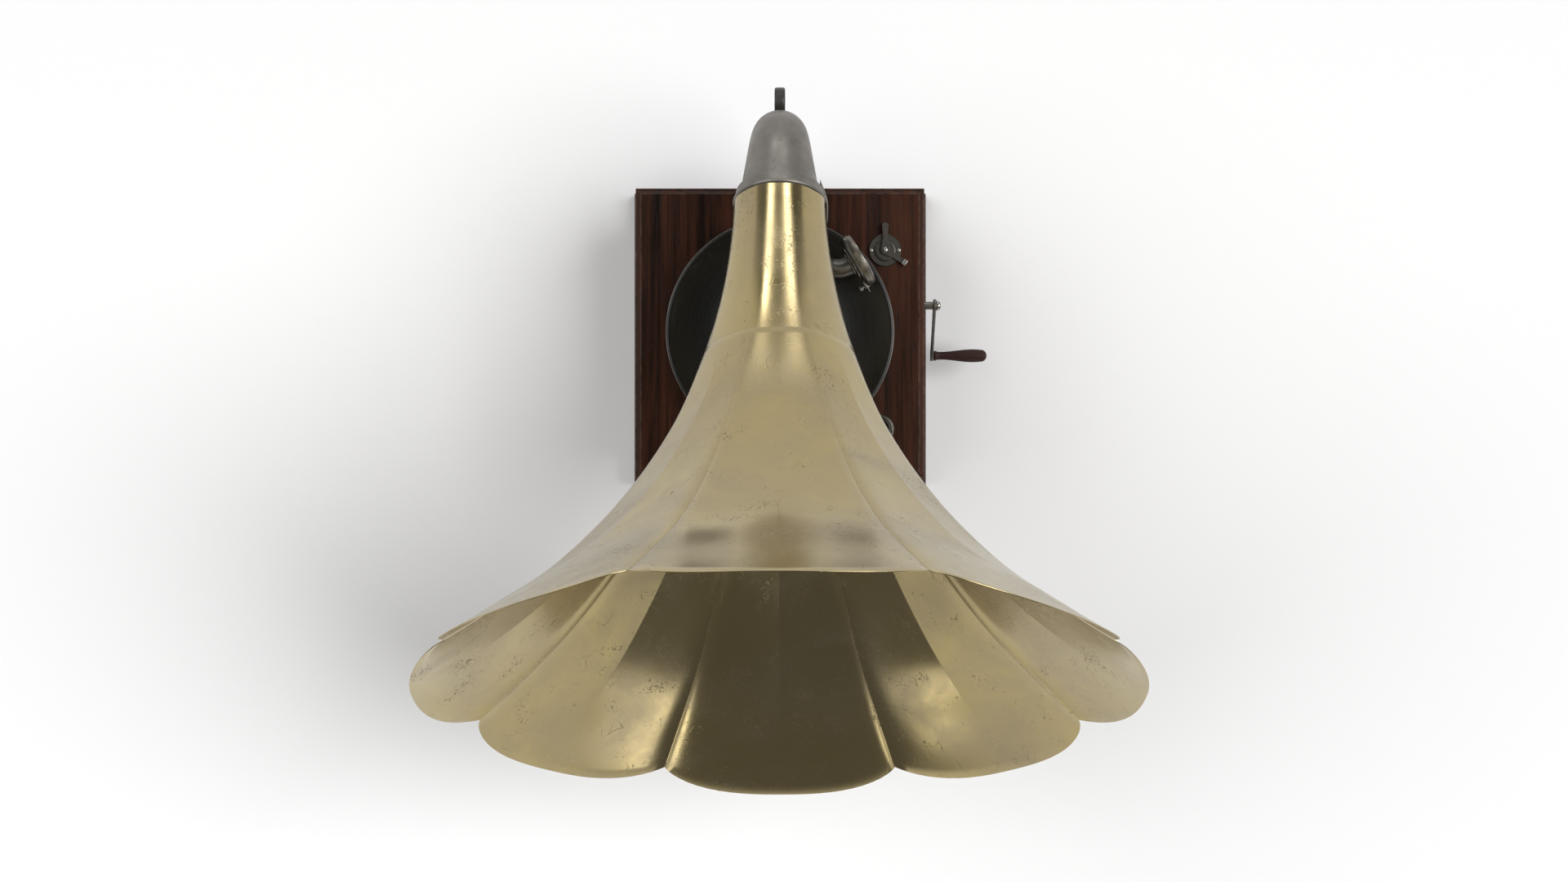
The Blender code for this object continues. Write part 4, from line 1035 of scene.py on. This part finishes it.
def cut_slot(item, centre, inner, outer, start, stop, low, high):
    """Cut a curved slot with a turned wedge of a ring."""
    deselect()
    bpy.ops.mesh.primitive_plane_add(size=1)
    tool = bpy.context.object
    turn = Matrix.Rotation(math.radians(start), 4, "Z")
    corners = ((inner, low), (outer, low), (inner, high), (outer, high))
    for vertex, (radius, height) in zip(tool.data.vertices, corners):
        vertex.co = turn @ Vector((radius, 0, height))
    bpy.ops.object.mode_set(mode="EDIT")
    bpy.ops.mesh.select_all(action="SELECT")
    bpy.ops.mesh.spin(steps=12, angle=math.radians(stop - start), center=(0, 0, 0), axis=(0, 0, 1))
    face_outwards()
    tool.location = centre
    carve(item, tool)


def flat_lever(name, outline, low, joint_body, cad_name):
    """Bronzed lever pressed from flat bar, with a hole for the dial's pin."""
    lever = pressed([(x, y, low) for x, y in outline], (0, 0, LEVER_THICK))
    deselect()
    bpy.ops.mesh.primitive_cylinder_add(vertices=24, radius=LEVER_BORE, depth=0.02, location=(*DIAL.xy, low))
    carve(lever, bpy.context.object)
    settle(lever, name, BRONZE, 32)
    ease_edges(lever, 0.0003, 50)
    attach(lever, joint_body)
    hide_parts(cad_name)


def bar_outline(start, start_radius, end, end_radius, waist=None):
    """Outline of a bar with round ends; a waist narrows it half way."""
    heading = math.degrees(math.atan2(end.y - start.y, end.x - start.x))
    tail = arc_points((start.x, start.y), start_radius, heading + 62, heading + 298, 14)
    nose = arc_points((end.x, end.y), end_radius, heading - 110, heading + 110, 12)
    if waist:
        along = (end - start).normalized()
        side = Vector((-along.y, along.x, 0))
        middle = start + (end - start) * 0.52
        right = middle - side * waist
        left = middle + side * waist
        return tail + [(right.x, right.y)] + nose + [(left.x, left.y)]
    return tail + nose


cut_slot(dial, DIAL, 0.0134, 0.0152, 12, 62, DIAL_LOW + 0.0008, DIAL_LOW + 0.006)
pin_low = DIAL_LOW + 0.0035
brake_low, speed_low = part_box("brake_lever")[0].z, pin_low
lever_end = DIAL + Vector((0, 0.0270, 0))
flat_lever("brake_handle", bar_outline(DIAL, 0.0052, lever_end, 0.0037, 0.0026), brake_low,
           "brake", "brake_lever")
speed_end = DIAL + Vector((0.0200, -0.0130, 0))
flat_lever("speed_pointer", bar_outline(DIAL, 0.0055, speed_end, 0.0030, 0.0027), speed_low,
           "speed", "speed_arm")
tab_line = Vector((20, -13, 0)).normalized()
tab_turn = math.atan2(tab_line.y, tab_line.x)
tab = cast_plate("speed_tab", (-0.0026, -0.0034, -0.0012), (0.0026, 0.0034, 0.0045), STEEL, 0.0, 0.0006)
tab_place = DIAL + tab_line * 0.0256 + Vector((0, 0, speed_low))
tab.data.transform(Matrix.Translation(tab_place) @ Matrix.Rotation(tab_turn, 4, "Z"))
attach(tab, "speed")

centre_screw = slotted_screw("dial_screw_centre", 0.0030, 0.0020, DIAL + Vector((0, 0, pin_low + PIN_LONG)),
                             (0, 0, 1), 70)
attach(centre_screw, "cabinet")
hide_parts("dial_centre_screw")
deselect()
bpy.ops.mesh.primitive_cylinder_add(vertices=24, radius=0.0017, depth=PIN_LONG,
                                    location=DIAL + Vector((0, 0, pin_low + PIN_LONG / 2)))
pin = settle(bpy.context.object, "dial_pin", SCREW_STEEL)
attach(pin, "cabinet")
for side, offset, turn in (("left", -0.0155, 15), ("right", 0.0155, 100)):
    seat = DIAL + Vector((offset, 0, DIAL_LOW + 0.0018))
    head = slotted_screw(f"dial_screw_head_{side}", 0.0020, 0.0010, seat, (0, 0, 1), turn)
    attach(head, "cabinet")
    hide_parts(f"dial_screw_{side}")

CUP = Vector((0.1109, -0.1085, 0.0))
cup_profile = [(0, 0), (0.0165, 0), (0.0170, 0.0006), (0.0170, 0.0020),
               (0.0163, 0.0027), (0.0142, 0.0031), (0.0130, 0.0042),
               (0.0126, 0.0078)]
cup_profile += arc_points((0.0117, 0.0078), 0.0009, 20, 160, 7)
cup_profile += [(0.0104, 0.0060), (0.0088, 0.0026), (0.0060, 0.0014), (0, 0.0012)]
cup = turned("needle_bowl", lifted(cup_profile, DIAL_LOW), BRONZE, CUP, steps=64)
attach(cup, "cabinet")
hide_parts("needle_cup")


# ------------------------------------------------------------------ tone arm
# Drawn tube in worn nickel. It hangs from the ring by a turned pot and runs
# forward under the horn; the goose neck turns in its end to lift the needle.
ARM_HEIGHT = 0.240
ARM_HEADING = math.radians(-70.0)
ARM_DIR = Vector((math.cos(ARM_HEADING), math.sin(ARM_HEADING), 0.0))
ARM_SPLIT = 0.108
PIVOT = Vector((0, FOOT_Y, ARM_HEIGHT))
GOOSE_RADIUS = 0.011
GOOSE_BEND = 0.020
BOX_HEADING = math.radians(30.3)
BOX_DIR = Vector((math.cos(BOX_HEADING), math.sin(BOX_HEADING), 0.0))
BOX_CENTRE = Vector((0.0850, 0.0758, ARM_HEIGHT))

ARM_STEEL = aged_metal("tonearm_steel", (0.125, 0.119, 0.107), (0.078, 0.073, 0.064), (0.045, 0.038, 0.03),
                       (0.48, 0.46, 0.42), 0.27, cloud=46.0, speck=520.0, marks=1.0,
                       wear=0.9, wear_width=0.0008)

pot_profile = [(0, 0.2260)] + dome_points(0.0238, 0.0132, 0.2392, range(-75, 1, 15))
pot_profile += [(0.0240, 0.2520), (0.0230, 0.2535), (0.0225, 0.2540), (0.0225, 0.2545), (0.0260, 0.2545),
                (0.0260, 0.2650), (0, 0.2650)]
pot = turned("pot", pot_profile, ARM_STEEL, (0, FOOT_Y, 0), steps=64, edge=0.0003)
tube_profile = [(0, 0.010), (0.0126, 0.010), (0.0122, 0.050), (0.0116, 0.088), (0.0118, 0.0895),
                (0.0128, 0.0905), (0.0130, 0.0925), (0.0130, 0.0980), (0.0126, 0.0988),
                (0.0126, 0.0998), (0.0130, 0.1006), (0.0130, 0.1066), (0.0126, ARM_SPLIT - GAP),
                (0, ARM_SPLIT - GAP)]
tube = turned("tube", tube_profile, ARM_STEEL, PIVOT, ARM_DIR, steps=56, edge=0.0002)
carve(pot, tube, "UNION")
arm = settle(pot, "arm_tube", ARM_STEEL, 30)
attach(arm, "tonearm")
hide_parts("tonearm_tube")

ARM_LEFT = Vector((-ARM_DIR.y, ARM_DIR.x, 0))
gap = BOX_CENTRE - PIVOT
corner_reach = (gap.x * BOX_DIR.y - gap.y * BOX_DIR.x) / (ARM_DIR.x * BOX_DIR.y - ARM_DIR.y * BOX_DIR.x)
bend_turn = BOX_HEADING - ARM_HEADING
bend_start = corner_reach - GOOSE_BEND * math.tan(bend_turn / 2)
bend_run = GOOSE_BEND * bend_turn
box_back = BOX_CENTRE - BOX_DIR * 0.0108


def goose_place(u, v):
    """Point of the goose neck: straight, a tight quarter turn, straight."""
    lead = bend_start - ARM_SPLIT - GAP
    bend_end = PIVOT + ARM_DIR * bend_start + ARM_LEFT * GOOSE_BEND
    bend_end += ARM_DIR * GOOSE_BEND * math.sin(bend_turn) - ARM_LEFT * GOOSE_BEND * math.cos(bend_turn)
    tail = (box_back - bend_end).length
    run = v * (lead + bend_run + tail)
    if run < lead:
        place, heading = PIVOT + ARM_DIR * (ARM_SPLIT + GAP + run), ARM_DIR
    elif run < lead + bend_run:
        angle = (run - lead) / GOOSE_BEND
        place = PIVOT + ARM_DIR * (bend_start + GOOSE_BEND * math.sin(angle))
        place += ARM_LEFT * GOOSE_BEND * (1 - math.cos(angle))
        heading = ARM_DIR * math.cos(angle) + ARM_LEFT * math.sin(angle)
    else:
        place, heading = bend_end + BOX_DIR * (run - lead - bend_run), BOX_DIR
    side = Vector((-heading.y, heading.x, 0))
    spin = math.pi * u
    radius = GOOSE_RADIUS + 0.0008 * (1 - ease(run, 0.004, 0.0052))
    return place + side * radius * math.cos(spin) + Vector((0, 0, 1)) * radius * math.sin(spin)


goose = closed_tube(48, 60, goose_place, 0.0015)
settle(goose, "goose_neck", ARM_STEEL, 32)
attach(goose, "soundbox")
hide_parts("tonearm_gooseneck")


# ------------------------------------------------------------------ sound box
# Turned box of worn plated steel: a stepped back flange, a milled outer ring
# that clamps the mica, and the stylus bar that rocks it from the needle.
BOX_STEEL = aged_metal("soundbox_steel", (0.23, 0.212, 0.182), (0.135, 0.122, 0.10), (0.06, 0.05, 0.035),
                       (0.60, 0.56, 0.48), 0.26, cloud=60.0, speck=420.0, marks=1.2,
                       wear=1.0, wear_width=0.0008)
flange_profile = [(0.009, -0.0102), (0.0128, -0.0102), (0.0128, -0.0090), (0.0165, -0.0088),
                  (0.0176, -0.0082), (0.0190, -0.0078), (0.0190, -0.0063), (0.0184, -0.0060),
                  (0.009, -0.0060)]
flange = turned("box_flange", flange_profile, BOX_STEEL, BOX_CENTRE, BOX_DIR, 64, closed=True, edge=0.0002)
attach(flange, "soundbox")
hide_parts("soundbox_flange")

shell_profile = [(0.009, -0.0057), (0.0215, -0.0057), (0.0222, -0.0052), (0.0265, -0.0050),
                 (0.0272, -0.0042), (0.0290, -0.0040), (0.0300, -0.0032), (0.0305, -0.0020),
                 (0.0305, 0.0022), (0.0298, 0.0030), (0.0296, 0.0038), (0.0300, 0.0044),
                 (0.0297, 0.0053), (0.0288, 0.0057), (0.0262, 0.0057), (0.0254, 0.0051),
                 (0.0246, 0.0050), (0.0240, 0.0044), (0.0240, 0.0026), (0.0274, 0.0026),
                 (0.0274, -0.0015), (0.009, -0.0015)]
shell = turned("box_shell", shell_profile, BOX_STEEL, BOX_CENTRE, BOX_DIR, 96, closed=True, edge=0.0001)
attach(shell, "soundbox")
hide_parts("soundbox_body")


def mica_finish():
    """Cleaved mica: amber, glassy, with faint layers and flakes."""
    made, tree, shader = new_finish("mica_sheet")
    shader.inputs["IOR"].default_value = 1.58
    shader.inputs["Transmission Weight"].default_value = 0.35
    age = age_marks(tree, 90.0, 300.0)
    tone = mix(tree, (0.50, 0.43, 0.28), (0.34, 0.28, 0.17))
    gloss = ramp(tree, 0.0, 1.0, 0.12, 0.30)
    link(tree,
         (age, "Clouds", tone, 0), (tone, 2, shader, "Base Color"),
         (age, "Clouds", gloss, 0), (gloss, 0, shader, "Roughness"))
    return made


mica = turned("mica_disc", [(0, 0.0014), (0.0269, 0.0014), (0.0269, 0.0019), (0, 0.0020)], mica_finish(),
              BOX_CENTRE, BOX_DIR, 64)
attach(mica, "soundbox")
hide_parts("diaphragm")

NEEDLE_REACH = 0.0509
NEEDLE_OFFSET = -0.0033
NEEDLE_DIP = math.asin((ARM_HEIGHT - RECORD_HIGH - GAP) / NEEDLE_REACH)
NEEDLE_DIR = Vector((BOX_DIR.y, -BOX_DIR.x, 0)) * math.cos(NEEDLE_DIP)
NEEDLE_DIR -= Vector((0, 0, 1)) * math.sin(NEEDLE_DIP)
BAR_LINE = [BOX_CENTRE + NEEDLE_DIR * reach + BOX_DIR * offset for reach, offset in (
    (0, 0.0025), (0.0012, 0.0066), (0.006, 0.0080), (0.020, 0.0080), (0.029, 0.0078), (0.0335, 0.0052),
    (0.0352, 0.0), (0.0358, NEEDLE_OFFSET))]


def bar_place(u, v):
    """Point of the stylus bar, thinner towards the mica."""
    here = smooth_line(BAR_LINE, v)
    ahead = (smooth_line(BAR_LINE, min(v + 0.02, 1)) - smooth_line(BAR_LINE, max(v - 0.02, 0))).normalized()
    across = NEEDLE_DIR.cross(BOX_DIR).normalized()
    out = ahead.cross(across)
    radius = 0.0008 + 0.0008 * v
    spin = math.pi * u
    return here + across * radius * math.cos(spin) + out * radius * math.sin(spin)


bar = settle(closed_tube(16, 48, bar_place), "bar", SCREW_STEEL, 40)
chuck_profile = [(0, 0.0315), (0.0022, 0.0315), (0.0030, 0.0325), (0.0030, 0.0372), (0.0026, 0.0376),
                 (0.0026, 0.0384), (0.0030, 0.0388), (0.0026, 0.0402), (0.0014, 0.0410), (0, 0.0410)]
chuck_place = BOX_CENTRE + BOX_DIR * NEEDLE_OFFSET
chuck = turned("chuck", chuck_profile, SCREW_STEEL, chuck_place, NEEDLE_DIR, 32)
stylus = joined("stylus_lever", bar, chuck)
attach(stylus, "soundbox")
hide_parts("stylus_bar")

thumb_place = BOX_CENTRE + NEEDLE_DIR * 0.0375 + BOX_DIR * (NEEDLE_OFFSET - 0.0033)
thumb_profile = [(0, 0), (0.0013, 0), (0.0013, 0.0020), (0.0030, 0.0023), (0.0033, 0.0028),
                 (0.0033, 0.0050), (0.0028, 0.0056), (0.0010, 0.0060), (0, 0.0061)]
thumb = turned("needle_thumb_screw", thumb_profile, SCREW_STEEL, thumb_place, -BOX_DIR, 24)
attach(thumb, "soundbox")
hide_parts("needle_screw")
point_profile = [(0, 0.0413), (0.0008, 0.0413), (0.0008, 0.0465), (0.0006, 0.0480), (0, NEEDLE_REACH)]
point = turned("steel_needle", point_profile, STEEL, chuck_place, NEEDLE_DIR, 20)
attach(point, "soundbox")
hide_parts("needle")


# ------------------------------------------------------------------ crank
# Steel shaft through a collar on the right wall, a flat forged arm held by a
# domed nut, and a turned hardwood grip that spins on its pin.
ARM_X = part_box("crank_arm")[0].x
CRANK_THICK = 0.003
THROW = 0.075
THROW_ANGLE = math.radians(221.7)
GRIP_AT = Vector((0, SHAFT_Y + THROW * math.cos(THROW_ANGLE), SHAFT_Z + THROW * math.sin(THROW_ANGLE)))
DARK_STEEL = aged_metal("crank_steel", (0.17, 0.16, 0.145), (0.11, 0.10, 0.09), (0.04, 0.032, 0.025),
                        (0.45, 0.43, 0.39), 0.30, cloud=60.0, speck=520.0, marks=1.0,
                        wear=0.9, wear_width=0.0008)
polish(DARK_STEEL, "crank_shaft", "grip_pin")

collar_profile = [(0.0052, 0), (0.0145, 0), (0.0150, 0.0006), (0.0149, 0.0012), (0.0132, 0.0021),
                  (0.0110, 0.0024), (0.0092, 0.0030), (0.0084, 0.0042), (0.0082, 0.0054),
                  (0.0076, 0.0060), (0.0052, 0.0060)]
eye = turned("shaft_collar", collar_profile, STEEL, (WALL + GAP, SHAFT_Y, SHAFT_Z), (1, 0, 0), 64,
             closed=True)
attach(eye, "cabinet")
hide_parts("winding_escutcheon")


def crank_bar():
    """Flat arm: an outline with two bosses, given its thickness along X."""
    start = Vector((SHAFT_Y, SHAFT_Z, 0))
    end = Vector((GRIP_AT.y, GRIP_AT.z, 0))
    outline = bar_outline(start, 0.0075, end, 0.0065, 0.0048)
    item = pressed([(ARM_X, y, z) for y, z in outline], (CRANK_THICK, 0, 0))
    settle(item, "crank_bar", DARK_STEEL, 32)
    ease_edges(item, 0.0005, 50, 3)
    return item


crank = crank_bar()
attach(crank, "crank")
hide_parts("crank_arm")
nut_place = Vector((ARM_X + CRANK_THICK + GAP, SHAFT_Y, SHAFT_Z))
nut_profile = [(0, 0), (0.0056, 0), (0.0058, 0.0004), (0.0058, 0.0012), (0.0050, 0.0016), (0.0050, 0.0030)]
nut_profile += dome_points(0.0050, 0.0024, 0.0030, (25, 50, 72)) + [(0, 0.0054)]
nut = turned("domed_nut", nut_profile, STEEL, nut_place, (1, 0, 0), 32)
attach(nut, "crank")
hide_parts("crank_nut")

GRIP_WOOD = polished_wood("grip_hardwood", (0, 0, 90), (0.017, 0.0085, 0.0070), (0.034, 0.0165, 0.0130),
                          (0.062, 0.032, 0.024), (0.14, 0.08, 0.06), rough=0.34, wear=0.4, width=0.001)
GRIP_START = ARM_X + 0.0037
GRIP_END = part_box("crank_grip")[1].x
grip_long = GRIP_END - GRIP_START
grip_profile = [(0, grip_long - 0.0074), (0.0029, grip_long - 0.0074), (0.0029, 0.0), (0.0052, 0.0),
                (0.0058, 0.0008), (0.0059, 0.0022), (0.0054, 0.0032), (0.0047, 0.0048), (0.0046, 0.0080)]
for k in range(1, 15):
    share = k / 15
    swell = 0.0046 + 0.0031 * ease(share, 0.0, 0.80) - 0.0005 * ease(share, 0.82, 1.0)
    grip_profile.append((swell, 0.0080 + (grip_long - 0.0150) * share))
grip_profile += dome_points(0.0071, 0.0062, grip_long - 0.0062, (0, 20, 40, 58, 74)) + [(0, grip_long)]
grip = turned("turned_grip", grip_profile, GRIP_WOOD, GRIP_AT + Vector((GRIP_START, 0, 0)), (1, 0, 0), 48)
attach(grip, "grip")
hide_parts("crank_grip")


# ------------------------------------------------------------------ motor
# Spring motor inside the case: plates and pillars, the spring in its barrel,
# the idler, governor and winding arbor. Plain machined steel, oiled and dark.
MOTOR_STEEL = aged_metal("oiled_steel", (0.24, 0.235, 0.225), (0.16, 0.155, 0.145), (0.05, 0.045, 0.035),
                         (0.45, 0.44, 0.42), 0.30, cloud=30.0, speck=300.0, wear=0.8)
SPRING_STEEL = aged_metal("blued_spring", (0.06, 0.075, 0.11), (0.045, 0.05, 0.065), (0.02, 0.02, 0.02),
                          (0.30, 0.30, 0.32), 0.26, cloud=24.0, speck=300.0, wear=0.7)
polish(MOTOR_STEEL, "motor_bottom_plate", "motor_top_plate", "motor_pillar_1", "motor_pillar_2",
       "motor_pillar_3", "mainspring_barrel", "barrel_arbor", "idler_gear", "governor_rotor",
       "turntable_spindle")
polish(SPRING_STEEL, "mainspring")
